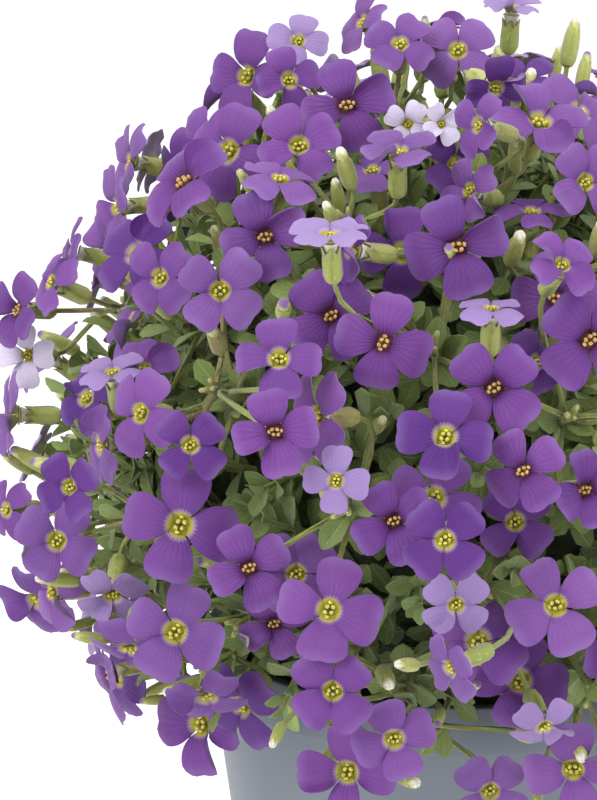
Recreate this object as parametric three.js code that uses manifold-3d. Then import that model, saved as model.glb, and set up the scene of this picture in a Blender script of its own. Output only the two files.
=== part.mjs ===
// A potted aubrieta in full flower: a plain tapered plastic pot, the compost in it, a leafy cushion of
// shoots, and the flower sprays that stand out of it. Each spray is a stalk with four-petalled blooms and buds.
// Millimetres, +Z up. The origin is the middle of the pot's base, and the reference view looks along +Y.
import * as THREE from "three";
import { mergeVertices } from "three/addons/utils/BufferGeometryUtils.js";
import Module from "manifold-3d";

const wasm = await Module();
wasm.setup();

// Pot
const POT_HEIGHT = 92;
const RIM_RADIUS = 52.5;
const BAND_HEIGHT = 10;
const BAND_STEP = 1.3;
const WALL = 1.3;
const BASE_RADIUS = 40;
const FLOOR = 1.8;
const EDGE_ROUND = 0.6;
const ROUND_SIDES = 36;
const DRAIN_HOLES = 6;
const DRAIN_RADIUS = 3.2;
const DRAIN_CIRCLE = 29;

// Compost, and the neck of the plant that stands in it
const SOIL_TOP = 84;
const NECK_RADIUS = 8;
const NECK_DEPTH = 14;
const SEAT_GAP = 0.3;

// The mound: bloom centres lie on an egg shape about this centre, which dips on three sides. A dip is the
// share of the radius that it takes, its spread in degrees and where it lies. The cushion of shoots under the
// blooms is the same shape at a smaller size.
const MOUND_HEIGHT = POT_HEIGHT + 30;
const MOUND_RADIUS = 94;
const MOUND_LOWER = 62;
const DIPS = [
  { depth: 0.13, spread: 25, towards: new THREE.Vector3(0.45, -0.05, 0.9).normalize() },
  { depth: 0.1, spread: 20, towards: new THREE.Vector3(-0.8, 0, 0.6).normalize() },
  { depth: 0.12, spread: 18, towards: new THREE.Vector3(-0.8, -0.1, -0.6).normalize() },
];
const CUSHION_SHARE = 0.68;
const CUSHION_SIDES = 20;
const CUSHION_LOWEST = 112;

// Sprays: the stalk's foot is sunk in the cushion, and a pedicel leaves the stalk at each step
const SPRAYS = 56;
const LOWEST_BLOOM = -0.52;
const LOWEST_FOOT = -0.28;
const STALK_RADIUS = 1.5;
const STALK_ROOT = 5;
const FIRST_JOINT = 6;
const JOINT_STEP = 2;
const MOST_JOINTS = 6;
const PEDICEL_RADIUS = 0.9;
const PEDICEL_FOOT_RADIUS = 0.5;

// Blooms and buds
const TUBE_LENGTH = 7.5;
const TUBE_RADIUS = 1.9;
const PETAL_THICKNESS = 0.8;
const PETAL_HALF_ANGLE = 32;
const NOTCH_SHARE = 0.48;
const BUD_LENGTH = 8;
const BUD_RADIUS = 2;
const SMALLEST_FILL = 16;
const LARGEST_FILL = 21;

// Leaves of the cushion
const LEAVES = 90;
const LEAF_LENGTH = 19;
const LEAF_WIDTH = 7.5;
const LEAF_THICKNESS = 0.9;
const LEAF_ROOT = 4;

// Edges shorter than this, which joining leaves where two pieces cross, are closed up
const SLIVER = 0.1;

// How the blooms and buds that fill the mound are spread
const FILL_LATTICE = 240;
const FILL_SPACING = 13.5;
const BUD_LATTICE = 84;
const SEED = 20;

// The reference view: a long lens 900 mm away, 15 degrees above the horizon. The middle of the pot's rim is
// seen at RIM_PIXEL in a picture of 597 by 800 pixels.
const VIEW_ELEVATION = 15;
const VIEW_DISTANCE = 900;
const PIXELS_PER_MM = 4.85;
const PICTURE = { width: 597, height: 800 };
const RIM_PIXEL = { x: 460, y: 625 };

// The blooms that the reference view shows, each placed by its eye. x and y are its pixels, turn and lift the
// degrees by which it faces right of and above the viewer, spin the degrees of its first petal from the
// view's right, and width its spread in millimetres.
const SEEN = [
  // x, y, turn, lift, spin, width
  [298, 41, 0, 25, 80, 13],
  [247, 76, -35, 5, 75, 19],
  [289, 80, 10, 10, 20, 14],
  [228, 151, -25, 8, 65, 20],
  [205, 140, -45, 20, 30, 18],
  [180, 168, -50, -10, 10, 17],
  [152, 163, -110, 20, 45, 15],
  [130, 162, -75, 10, 40, 18],
  [118, 207, -65, -5, 20, 18],
  [112, 247, -60, 0, 45, 17],
  [72, 252, -80, 10, 0, 15],
  [299, 146, 0, 15, 30, 17],
  [280, 178, 20, 60, 45, 16],
  [265, 237, -10, 0, 20, 18],
  [160, 278, -30, 0, 45, 16],
  [400, 44, 0, 30, 60, 15],
  [458, 50, 0, 15, 45, 17],
  [362, 22, -60, 30, 10, 15],
  [347, 105, 0, 5, 20, 19],
  [408, 124, 0, 0, 60, 10],
  [441, 124, 20, 0, 30, 9],
  [512, 8, 10, 70, 45, 13],
  [495, 88, 30, -20, 0, 14],
  [526, 80, 0, 40, 45, 13],
  [540, 122, 15, 45, 20, 20],
  [580, 112, 30, 30, 45, 19],
  [479, 125, -50, 10, 45, 14],
  [398, 152, 0, 60, 30, 16],
  [372, 170, -20, 50, 0, 14],
  [455, 165, 20, 10, 45, 15],
  [470, 190, -40, 10, 20, 13],
  [457, 247, 0, -5, 20, 21],
  [402, 253, -5, 0, 5, 19],
  [330, 235, -10, 65, 45, 16],
  [352, 250, -60, 5, 45, 15],
  [531, 211, 0, 65, 10, 15],
  [562, 265, 20, 30, 45, 14],
  [585, 182, 30, 10, 45, 16],
  [556, 299, -5, 0, 0, 19],
  [590, 340, 10, 0, 50, 20],
  [331, 316, 0, 0, 40, 18],
  [383, 343, -5, 0, 75, 19],
  [494, 388, 0, 0, 45, 19],
  [491, 308, 0, 65, 45, 13],
  [445, 437, 0, 25, 80, 19],
  [434, 498, 0, 0, 65, 18.5],
  [336, 481, -10, 0, 85, 13],
  [394, 521, -5, 0, 30, 16.5],
  [523, 471, -15, 0, 35, 17],
  [515, 522, 0, 10, 50, 16],
  [537, 362, 40, 0, 20, 13],
  [585, 490, 20, 0, 20, 16],
  [316, 417, -55, 0, 45, 19],
  [220, 291, 0, 0, 50, 18],
  [279, 359, -5, 20, 0, 17],
  [275, 432, 0, 0, 10, 17],
  [180, 525, 0, 0, 78, 22],
  [17, 310, -50, 0, 60, 17],
  [50, 282, -60, 20, 30, 15],
  [28, 355, -30, 0, 0, 14],
  [14, 415, -80, 0, 45, 19],
  [86, 398, -40, 20, 20, 15],
  [112, 372, -20, 60, 45, 14],
  [143, 370, -20, 30, 10, 15],
  [140, 413, -35, 0, 60, 18],
  [100, 445, -70, -5, 45, 18],
  [190, 445, 0, 10, 45, 15],
  [70, 487, -30, 0, 30, 14],
  [5, 510, -50, 0, 45, 14],
  [57, 541, -10, 0, 60, 17],
  [38, 600, -40, -40, 10, 19],
  [113, 595, -10, -50, 45, 15],
  [175, 632, -5, -5, 65, 20],
  [130, 650, -20, -60, 30, 18],
  [207, 697, -10, -60, 60, 17],
  [249, 568, 5, 5, 30, 17],
  [296, 574, 0, 0, 45, 17],
  [329, 610, 0, 0, 80, 20],
  [274, 624, -5, -5, 30, 15],
  [333, 691, 0, -5, 42, 17.5],
  [394, 739, 0, -10, 20, 16.5],
  [456, 605, 10, -20, 45, 14],
  [556, 605, 0, 0, 27, 19.5],
  [478, 641, -5, 25, 50, 19.5],
  [520, 681, 0, 5, 80, 19],
  [545, 728, 20, -40, 45, 14],
  [490, 791, 0, -15, 45, 16],
  [445, 540, 0, -10, 45, 17],
  [450, 668, -60, -20, 20, 14],
];

// A bloom or bud slides this far along its way out of the mound, one way or the other, until it is clear of
// all that was placed before it. It is tested at points a step apart.
const SEEN_SLIDES = [0, 3, -3, 6, -6, 9, -9, 12, -12, 15, -15, 18, -18];
const FILL_SLIDES = [0, 3, -3, 6, -6, -9, 9, -12];
const BUD_SLIDES = [0, 3, -3, 6, -6];
const CLEARANCE = 3.0;
const SAMPLE_STEP = 2.5;
const REACH = 45;
const BRANCHING = 10;
const SHARPEST_BEND = -0.25;
const STALK_CHOICE = 3;

const GOLDEN_ANGLE = Math.PI * (3 - Math.sqrt(5));
const radians = THREE.MathUtils.degToRad;
const vec = (x, y, z) => new THREE.Vector3(x, y, z);
const centre = vec(0, 0, MOUND_HEIGHT);

// A seeded draw of numbers from 0 to 1.
function draws(seed) {
  let state = seed;
  return () => {
    state = (state * 16807) % 2147483647;
    return state / 2147483647;
  };
}

// Direction number i of count that are spread evenly over a sphere, from the top down.
function latticeDirection(i, count) {
  const z = 1 - (2 * (i + 0.5)) / count;
  const flat = Math.sqrt(1 - z * z);
  return vec(flat * Math.cos(i * GOLDEN_ANGLE), flat * Math.sin(i * GOLDEN_ANGLE), z);
}

// How much of its full radius the mound has in a direction: less where it dips.
function dip(direction) {
  return DIPS.reduce((share, { depth, spread, towards }) => {
    const away = THREE.MathUtils.radToDeg(Math.acos(Math.min(1, direction.dot(towards))));
    return share - depth * Math.exp(-((away / spread) ** 2));
  }, 1);
}

// The mound's radius from its centre in a direction.
function moundRadius(direction) {
  const upright = direction.z > 0 ? MOUND_RADIUS : MOUND_LOWER;
  const flat = Math.hypot(direction.x, direction.y) / MOUND_RADIUS;
  return dip(direction) / Math.hypot(flat, direction.z / upright);
}

// Two unit vectors at right angles to a direction, the first as near to "along" as it can be.
function crossAxes(direction, along) {
  const first = along.clone().addScaledVector(direction, -along.dot(direction)).normalize();
  return [first, direction.clone().cross(first)];
}

// A vector that isn't near a direction, to take crossAxes from.
function awayFrom(direction) {
  return Math.abs(direction.z) < 0.9 ? vec(0, 0, 1) : vec(0, 1, 0);
}

// A direction at an angle round another, from crossAxes.
function around([first, second], angle) {
  return first.clone().multiplyScalar(Math.cos(angle)).addScaledVector(second, Math.sin(angle));
}

// The reference view's axes and its eye point.
const elevation = radians(VIEW_ELEVATION);
const viewRight = vec(1, 0, 0);
const viewForward = vec(0, Math.cos(elevation), -Math.sin(elevation));
const viewUp = vec(0, Math.sin(elevation), Math.cos(elevation));
const eye = vec(0, 0, POT_HEIGHT)
  .addScaledVector(viewRight, (PICTURE.width / 2 - RIM_PIXEL.x) / PIXELS_PER_MM)
  .addScaledVector(viewUp, (RIM_PIXEL.y - PICTURE.height / 2) / PIXELS_PER_MM)
  .addScaledVector(viewForward, -VIEW_DISTANCE);

// The direction in which the reference view sees a pixel.
function pixelRay(x, y) {
  return viewForward.clone().multiplyScalar(VIEW_DISTANCE * PIXELS_PER_MM)
    .addScaledVector(viewRight, x - PICTURE.width / 2)
    .addScaledVector(viewUp, PICTURE.height / 2 - y)
    .normalize();
}

// Where a ray from the eye first meets the mound, or its nearest point to the mound's centre.
function meetMound(ray) {
  const inside = (distance) => {
    const out = eye.clone().addScaledVector(ray, distance).sub(centre);
    return out.length() < moundRadius(out.clone().normalize());
  };
  let far = centre.clone().sub(eye).dot(ray);
  let near = far - 1.3 * MOUND_RADIUS;
  while (inside(far) && far - near > 0.01) {
    const middle = (near + far) / 2;
    if (inside(middle)) far = middle;
    else near = middle;
  }
  return eye.clone().addScaledVector(ray, far);
}

// The blooms that the reference view shows.
function seenBlooms() {
  return SEEN.map(([x, y, turn, lift, spin, width]) => {
    const ray = pixelRay(x, y);
    const level = Math.cos(radians(lift));
    const facing = viewForward.clone().multiplyScalar(-Math.cos(radians(turn)) * level)
      .addScaledVector(viewRight, Math.sin(radians(turn)) * level)
      .addScaledVector(viewUp, Math.sin(radians(lift)));
    const axes = crossAxes(facing, Math.abs(turn) < 60 ? viewRight : viewUp);
    return {
      point: meetMound(ray), facing, petal: around(axes, radians(spin)), radius: width / 2,
      way: ray.negate(), slides: SEEN_SLIDES,
    };
  });
}

// Blooms that fill the rest of the mound, spread evenly and turned a little at random.
function fillBlooms(seen) {
  const draw = draws(SEED);
  const blooms = [];
  for (let i = 0; i < FILL_LATTICE; i += 1) {
    const out = latticeDirection(i, FILL_LATTICE);
    const [lift, turn, spin, size, depth] = [draw(), draw(), draw(), draw(), draw()];
    const point = centre.clone().addScaledVector(out, moundRadius(out) - 4 * depth);
    if (out.z < LOWEST_BLOOM || seen.some((bloom) => bloom.point.distanceTo(point) < FILL_SPACING)) continue;
    const facing = out.clone()
      .add(vec(-out.y, out.x, 0).multiplyScalar(0.9 * (turn - 0.5)))
      .add(vec(0, 0, 0.7 * lift - 0.1))
      .normalize();
    const petal = around(crossAxes(facing, awayFrom(facing)), Math.PI * spin);
    const width = SMALLEST_FILL + (LARGEST_FILL - SMALLEST_FILL) * size;
    blooms.push({ point, facing, petal, radius: width / 2, way: out, slides: FILL_SLIDES });
  }
  return blooms;
}

// Buds between the blooms. A bud has no petal.
function fillBuds() {
  const draw = draws(SEED + 1);
  const buds = [];
  for (let i = 0; i < BUD_LATTICE; i += 1) {
    const out = latticeDirection(i, BUD_LATTICE);
    const [turn, lift, depth] = [draw(), draw(), draw()];
    if (out.z < LOWEST_BLOOM) continue;
    const point = centre.clone().addScaledVector(out, moundRadius(out) - 6 + 8 * depth);
    const facing = out.clone()
      .add(vec(-out.y, out.x, 0).multiplyScalar(turn - 0.5))
      .add(vec(0, 0, 0.6 * lift))
      .normalize();
    buds.push({ point, facing, petal: null, radius: BUD_RADIUS, way: out, slides: BUD_SLIDES });
  }
  return buds;
}

// The index of the foot whose direction is nearest.
function nearestFoot(point, feet) {
  const out = point.clone().sub(centre).normalize();
  let best = 0;
  feet.forEach((foot, i) => {
    if (foot.dot(out) > feet[best].dot(out)) best = i;
  });
  return best;
}

// Directions of the sprays' feet. Each starts on a lattice and moves twice to the middle of its own blooms.
function sprayFeet(blooms) {
  const share = (1 - LOWEST_BLOOM) / 2;
  let feet = [];
  for (let i = 0; i < SPRAYS; i += 1) feet.push(latticeDirection(i, SPRAYS / share));
  for (let round = 0; round < 2; round += 1) {
    const sums = feet.map(() => vec(0, 0, 0));
    blooms.forEach((bloom) => {
      sums[nearestFoot(bloom.point, feet)].add(bloom.point.clone().sub(centre).normalize());
    });
    feet = sums.filter((sum) => sum.length() > 0).map((sum) => sum.normalize());
  }
  return feet.map((foot) => foot.setZ(Math.max(foot.z, LOWEST_FOOT)).normalize());
}

// A point on a foot's line, at a height over the cushion.
function overCushion(foot, height) {
  return centre.clone().addScaledVector(foot, CUSHION_SHARE * moundRadius(foot) + height);
}

// Where a bloom or bud joins its pedicel.
function pedicelTop(head) {
  return head.point.clone().addScaledVector(head.facing, -(head.petal ? TUBE_LENGTH : BUD_LENGTH / 2));
}

// The cosine of the angle at which the pedicel bends to carry the head: 1 where it runs straight on.
function pedicelBend(head) {
  return pedicelTop(head).sub(head.joint).normalize().dot(head.facing);
}

// Points over the face of a bloom or bud, down its tube and along its pedicel, to test what is clear of it.
function samplePoints(head) {
  const axes = crossAxes(head.facing, head.petal ?? awayFrom(head.facing));
  const points = [];
  for (let ring = 0; (ring - 1) * SAMPLE_STEP < head.radius; ring += 1) {
    const radius = Math.min(head.radius, ring * SAMPLE_STEP);
    const count = Math.max(1, 6 * ring);
    for (let i = 0; i < count; i += 1) {
      const spoke = around(axes, (2 * Math.PI * i) / count);
      points.push(head.point.clone().addScaledVector(spoke, radius));
    }
  }
  const top = pedicelTop(head);
  for (let i = 1; i <= 3; i += 1) points.push(head.point.clone().lerp(top, i / 3));
  const steps = Math.ceil(top.distanceTo(head.joint) / SAMPLE_STEP);
  for (let i = 1; i <= steps; i += 1) points.push(top.clone().lerp(head.joint, i / steps));
  return points;
}

// Whether every point of one list is clear of every point of another.
function isClear(points, others) {
  const limit = CLEARANCE * CLEARANCE;
  return points.every((point) => others.every((other) => point.distanceToSquared(other) > limit));
}

// Gives each bloom and bud a place on one of the nearest stalks, and slides it until it is clear of those
// before it and of the other sprays' stalks. One that finds no clear place is left out.
function settle(heads, feet) {
  const sprays = feet.map((foot) => ({ foot, heads: [], stalk: stalkPoints(foot) }));
  const placed = [];
  heads.forEach((head) => {
    const out = head.point.clone().sub(centre).normalize();
    const nearest = [...sprays]
      .sort((one, other) => other.foot.dot(out) - one.foot.dot(out))
      .slice(0, STALK_CHOICE)
      .filter((spray) => spray.heads.length < MOST_JOINTS);
    for (const spray of nearest) {
      const joint = overCushion(spray.foot, FIRST_JOINT + JOINT_STEP * spray.heads.length);
      for (const slide of head.slides) {
        const point = head.point.clone().addScaledVector(head.way, slide);
        const tried = { ...head, point, joint };
        const points = samplePoints(tried);
        const loose = points.filter((sample) => sample.distanceTo(joint) > BRANCHING);
        const close = placed.filter((other) => other.point.distanceTo(point) < REACH);
        const clear = close.every((other) => (other.spray === spray
          ? isClear(loose, other.loose) : isClear(points, other.points)));
        const clearOfStalks = sprays.every((other) => other === spray || isClear(points, other.stalk));
        if (clear && clearOfStalks && pedicelBend(tried) > SHARPEST_BEND) {
          placed.push({ point, spray, points, loose });
          spray.heads.push(tried);
          return;
        }
      }
    }
  });
  return sprays.filter((spray) => spray.heads.length > 0);
}

// Points along a stalk.
function stalkPoints(foot) {
  const points = [];
  const top = FIRST_JOINT + JOINT_STEP * MOST_JOINTS;
  for (let height = 0; height <= top; height += SAMPLE_STEP) points.push(overCushion(foot, height));
  return points;
}

// A closed solid from points and the triangles between them.
function closedSolid(points, faces) {
  return new wasm.Manifold(new wasm.Mesh({
    numProp: 3,
    vertProperties: new Float32Array(points.flatMap((point) => point.toArray())),
    triVerts: new Uint32Array(faces.flat()),
  }));
}

// A three.js geometry as a closed solid, and back.
function solidOf(geometry) {
  const bare = geometry.clone();
  bare.deleteAttribute("normal");
  bare.deleteAttribute("uv");
  const merged = mergeVertices(bare, 1e-4);
  return new wasm.Manifold(new wasm.Mesh({
    numProp: 3,
    vertProperties: merged.attributes.position.array,
    triVerts: new Uint32Array(merged.index.array),
  }));
}
function geometryOf(solid) {
  const mesh = solid.getMesh();
  const geometry = new THREE.BufferGeometry();
  geometry.setAttribute("position", new THREE.BufferAttribute(mesh.vertProperties, 3));
  geometry.setIndex(new THREE.BufferAttribute(mesh.triVerts, 1));
  return geometry;
}

// A solid turned on the Z axis from a profile of [radius, height] points.
function turned(profile, sides) {
  const lathe = new THREE.LatheGeometry(profile.map(([r, z]) => new THREE.Vector2(r, z)), sides);
  lathe.rotateX(Math.PI / 2);
  return solidOf(lathe);
}

// A tapering rod between two points.
function rod(from, to, radiusFrom, radiusTo, sides) {
  const along = to.clone().sub(from);
  const shape = new THREE.CylinderGeometry(radiusTo, radiusFrom, along.length(), sides);
  shape.translate(0, along.length() / 2, 0);
  shape.applyQuaternion(new THREE.Quaternion().setFromUnitVectors(vec(0, 1, 0), along.normalize()));
  shape.translate(from.x, from.y, from.z);
  return solidOf(shape);
}

// The pot: a tapered wall with a thicker band at the rim, a flat floor and drain holes.
function makePot() {
  const bandFoot = POT_HEIGHT - BAND_HEIGHT;
  const inside = RIM_RADIUS - BAND_STEP - WALL;
  let pot = turned([
    [0, 0],
    [BASE_RADIUS - 1, 0],
    [BASE_RADIUS, 1],
    [RIM_RADIUS - BAND_STEP, bandFoot],
    [RIM_RADIUS, bandFoot],
    [RIM_RADIUS, POT_HEIGHT - EDGE_ROUND],
    [RIM_RADIUS - EDGE_ROUND, POT_HEIGHT],
    [inside, POT_HEIGHT],
    [BASE_RADIUS - WALL, FLOOR],
    [0, FLOOR],
  ], ROUND_SIDES);
  for (let i = 0; i < DRAIN_HOLES; i += 1) {
    const angle = (2 * Math.PI * (i + 0.5)) / DRAIN_HOLES;
    const at = vec(DRAIN_CIRCLE * Math.cos(angle), DRAIN_CIRCLE * Math.sin(angle), -1);
    pot = pot.subtract(rod(at, at.clone().setZ(FLOOR + 1), DRAIN_RADIUS, DRAIN_RADIUS, 8));
  }
  return pot;
}

// The compost, with a plain hole for the plant's neck.
function makeSoil() {
  const slope = (RIM_RADIUS - BAND_STEP - BASE_RADIUS) / (POT_HEIGHT - FLOOR);
  const wallAt = (z) => BASE_RADIUS - WALL + slope * (z - FLOOR) - 1.2 * SEAT_GAP;
  const bottom = FLOOR + SEAT_GAP;
  const soil = turned([
    [0, bottom],
    [wallAt(bottom), bottom],
    [wallAt(SOIL_TOP), SOIL_TOP],
    [0, SOIL_TOP],
  ], ROUND_SIDES);
  const holeRadius = NECK_RADIUS + 3 * SEAT_GAP;
  const holeFoot = vec(0, 0, SOIL_TOP - NECK_DEPTH - SEAT_GAP);
  return soil.subtract(rod(holeFoot, vec(0, 0, SOIL_TOP + 1), holeRadius, holeRadius, 8));
}

// The cushion's core: the mound at a smaller size, drawn in over the rim, with a neck down into the compost.
function makeCore() {
  const profile = [
    [0, SOIL_TOP - NECK_DEPTH],
    [NECK_RADIUS, SOIL_TOP - NECK_DEPTH],
    [NECK_RADIUS, SOIL_TOP + SEAT_GAP],
    [44, SOIL_TOP + SEAT_GAP],
    [46.5, POT_HEIGHT + 1.5],
  ];
  for (let polar = CUSHION_LOWEST; polar > 0; polar -= 14) {
    const out = vec(Math.sin(radians(polar)), 0, Math.cos(radians(polar)));
    const radius = (CUSHION_SHARE * moundRadius(out)) / dip(out);
    profile.push([radius * out.x, MOUND_HEIGHT + radius * out.z]);
  }
  profile.push([0, MOUND_HEIGHT + CUSHION_SHARE * MOUND_RADIUS]);
  const lathe = new THREE.LatheGeometry(profile.map(([r, z]) => new THREE.Vector2(r, z)), CUSHION_SIDES);
  lathe.rotateX(Math.PI / 2);
  const places = lathe.attributes.position;
  for (let i = 0; i < places.count; i += 1) {
    const out = vec(places.getX(i), places.getY(i), places.getZ(i)).sub(centre);
    if (out.z < 0) continue;
    const point = centre.clone().addScaledVector(out, dip(out.clone().normalize()));
    places.setXYZ(i, point.x, point.y, point.z);
  }
  return solidOf(lathe);
}

// A leaf: a thin kite with an arched rib, its foot sunk in what it grows from.
function makeLeaf(root, along, flat) {
  const [side, face] = crossAxes(along, flat);
  const wide = root.clone().addScaledVector(along, LEAF_LENGTH * 0.6).addScaledVector(face, 1.2);
  const tip = root.clone().addScaledVector(along, LEAF_LENGTH).addScaledVector(face, -1);
  const outline = [
    root,
    wide.clone().addScaledVector(side, -LEAF_WIDTH / 2),
    tip,
    wide.clone().addScaledVector(side, LEAF_WIDTH / 2),
  ];
  const half = face.clone().multiplyScalar(LEAF_THICKNESS / 2);
  const points = [
    ...outline.map((point) => point.clone().add(half)),
    ...outline.map((point) => point.clone().sub(half)),
  ];
  const faces = [[0, 1, 3], [1, 2, 3], [4, 7, 5], [5, 7, 6]];
  for (let i = 0; i < 4; i += 1) {
    const next = (i + 1) % 4;
    faces.push([i, i + 4, next], [next, i + 4, next + 4]);
  }
  return closedSolid(points, faces);
}

// The leaves that stand out of the cushion, each one's root, direction and the side that it shows.
function leafPlaces(sprays) {
  const draw = draws(SEED + 2);
  const places = [];
  const crowd = sprays.flatMap((spray) => [
    ...spray.stalk,
    ...spray.heads.flatMap(samplePoints),
  ]);
  for (let i = 0; i < LEAVES; i += 1) {
    const out = latticeDirection(i, LEAVES);
    const [turn, lean] = [2 * Math.PI * draw(), 0.3 + 0.5 * draw()];
    if (out.z < LOWEST_FOOT) continue;
    const root = centre.clone().addScaledVector(out, CUSHION_SHARE * moundRadius(out) - LEAF_ROOT);
    const flat = around(crossAxes(out, awayFrom(out)), turn);
    const along = out.clone().addScaledVector(out.clone().cross(flat), lean).normalize();
    places.push({ root, along, flat });
  }
  return places.filter(({ root, along, flat }) => {
    const points = [];
    for (let length = LEAF_ROOT; length <= LEAF_LENGTH; length += SAMPLE_STEP) {
      for (const across of [-0.5, 0, 0.5]) {
        points.push(root.clone().addScaledVector(along, length).addScaledVector(flat, across * LEAF_WIDTH));
      }
    }
    return isClear(points, crowd);
  });
}

// The leafy cushion: its core, the leaves, and a plain socket for each stalk.
function makeCushion(sprays) {
  let cushion = makeCore();
  leafPlaces(sprays).forEach(({ root, along, flat }) => {
    cushion = cushion.add(makeLeaf(root, along, flat));
  });
  sprays.forEach(({ foot }) => {
    const radius = STALK_RADIUS + 2 * SEAT_GAP;
    const hole = rod(overCushion(foot, -STALK_ROOT - SEAT_GAP), overCushion(foot, 4), radius, radius, 3);
    cushion = cushion.subtract(hole);
  });
  return cushion.simplify(SLIVER);
}

// Three points round a line's point, the first two vectors turned to lie square to the line.
function triangleRing(middle, along, [first, second], normal, radius) {
  const turn = new THREE.Quaternion().setFromUnitVectors(normal, along);
  return [45, 165, 285].map((angle) => around([first, second], radians(angle))
    .applyQuaternion(turn).multiplyScalar(radius).add(middle));
}

// A bloom: four broad petals round a shallow throat, the tube below them and the pedicel down to its joint.
// Each petal's outer edge is as thick as the petal at its middle and thins out to its corners.
function makeBloom({ point, facing, petal, radius, joint }) {
  const axes = crossAxes(facing, petal);
  const at = (angle, spread, height) => around(axes, radians(angle)).multiplyScalar(spread)
    .addScaledVector(facing, height).add(point);
  const points = [at(0, 0, -1)];
  for (let i = 0; i < 4; i += 1) {
    const middle = 90 * i;
    points.push(
      at(middle - PETAL_HALF_ANGLE, radius * 0.97, 0.4),
      at(middle + PETAL_HALF_ANGLE, radius * 0.97, 0),
      at(middle + 45, radius * NOTCH_SHARE, -0.4),
      at(middle, radius * 0.9, 0.2 - PETAL_THICKNESS),
      at(middle + 45, TUBE_RADIUS, -2.4),
    );
  }
  const corner = (i, kind) => 1 + 5 * (i % 4) + kind;
  const faces = [];
  for (let i = 0; i < 4; i += 1) {
    const [left, right, notch, under, tube] = [0, 1, 2, 3, 4].map((kind) => corner(i, kind));
    const [notchBefore, tubeBefore] = [corner(i + 3, 2), corner(i + 3, 4)];
    faces.push([0, notchBefore, left], [0, left, right], [0, right, notch], [left, under, right]);
    faces.push([notchBefore, under, left], [right, under, notch], [tubeBefore, under, notchBefore]);
    faces.push([tubeBefore, tube, under], [tube, notch, under]);
  }
  const top = points.length;
  const base = point.clone().addScaledVector(facing, -TUBE_LENGTH);
  const up = base.clone().sub(joint).normalize();
  points.push(...triangleRing(base, facing, axes, facing, PEDICEL_RADIUS * 1.3));
  points.push(...triangleRing(joint, up, axes, facing, PEDICEL_FOOT_RADIUS));
  const ring = [0, 1, 2, 3].map((i) => corner(i, 4));
  faces.push([ring[0], top, ring[1]], [ring[1], top, top + 1], [ring[1], top + 1, ring[2]]);
  faces.push([ring[2], top + 1, top + 2], [ring[2], top + 2, ring[3]], [ring[3], top + 2, top]);
  faces.push([ring[3], top, ring[0]]);
  for (let i = 0; i < 3; i += 1) {
    const next = top + ((i + 1) % 3);
    faces.push([top + i, top + i + 3, next], [next, top + i + 3, next + 3]);
  }
  faces.push([top + 3, top + 5, top + 4]);
  return closedSolid(points, faces);
}

// A bud: a long three-sided drop on its pedicel.
function makeBud({ point, facing, joint }) {
  const base = point.clone().addScaledVector(facing, -BUD_LENGTH / 2);
  const up = base.clone().sub(joint).normalize();
  const axes = crossAxes(facing, awayFrom(facing));
  const points = [
    ...triangleRing(joint, up, axes, facing, PEDICEL_FOOT_RADIUS),
    ...triangleRing(base, facing, axes, facing, PEDICEL_RADIUS),
    ...triangleRing(point, facing, axes, facing, BUD_RADIUS),
    point.clone().addScaledVector(facing, BUD_LENGTH / 2),
  ];
  const faces = [[0, 2, 1]];
  for (let ring = 0; ring < 6; ring += 3) {
    for (let i = 0; i < 3; i += 1) {
      const next = (i + 1) % 3;
      faces.push([ring + i, ring + next, ring + 3 + i], [ring + next, ring + 3 + next, ring + 3 + i]);
    }
  }
  for (let i = 0; i < 3; i += 1) faces.push([6 + i, 6 + ((i + 1) % 3), 9]);
  return closedSolid(points, faces);
}

// One spray: its stalk, and its blooms and buds on their pedicels, in one body.
function makeSpray({ foot, heads }) {
  const topJoint = FIRST_JOINT + JOINT_STEP * (heads.length - 1);
  const root = overCushion(foot, -STALK_ROOT);
  let spray = rod(root, overCushion(foot, topJoint + 1.2), STALK_RADIUS, STALK_RADIUS, 3);
  heads.forEach((head) => {
    spray = spray.add(head.petal ? makeBloom(head) : makeBud(head));
  });
  return spray.simplify(SLIVER);
}

// What each sub-part looks like.
const FINISHES = {
  pot: { color: 0x7b838f, roughness: 0.5, metalness: 0 },
  compost: { color: 0x2e2219, roughness: 0.95, metalness: 0 },
  foliage: { color: 0x5a6f3a, roughness: 0.7, metalness: 0 },
  spray: { color: 0x7f4fa4, roughness: 0.6, metalness: 0 },
};

// A sub-part as a named mesh with its finish.
function named(name, solid, finish) {
  const mesh = new THREE.Mesh(geometryOf(solid), new THREE.MeshStandardMaterial(finish));
  mesh.name = name;
  return mesh;
}

const seen = seenBlooms().sort((one, other) => other.radius - one.radius);
const blooms = [...seen, ...fillBlooms(seen)];
const sprays = settle([...blooms, ...fillBuds()], sprayFeet(blooms));

const group = new THREE.Group();
group.add(named("pot", makePot(), FINISHES.pot));
group.add(named("compost", makeSoil(), FINISHES.compost));
group.add(named("foliage", makeCushion(sprays), FINISHES.foliage));
sprays.forEach((spray, i) => {
  const number = String(i + 1).padStart(2, "0");
  group.add(named(`spray_${number}`, makeSpray(spray), FINISHES.spray));
});

export default group;
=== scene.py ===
"""A potted aubrieta in full flower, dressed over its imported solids.

The pot, the compost, the cushion of shoots and every flower spray get a finely modelled piece of their own.
The blooms and buds stand where the part's own planting rule puts them: the rule is repeated here in
millimetres, and the meshes are made in metres. +Z is up, and the reference view looks along +Y, a little
downwards.
"""

import logging
import math
from collections.abc import Callable, Iterable
from dataclasses import dataclass, field, replace
from enum import Enum, IntEnum

import bmesh
import bpy
import numpy as np
from bmesh.types import BMEdge, BMFace, BMVert
from bpy.types import Material, Mesh, Node, NodeSocket, Object
from mathutils import Matrix, Vector
from numpy import ndarray

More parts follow.
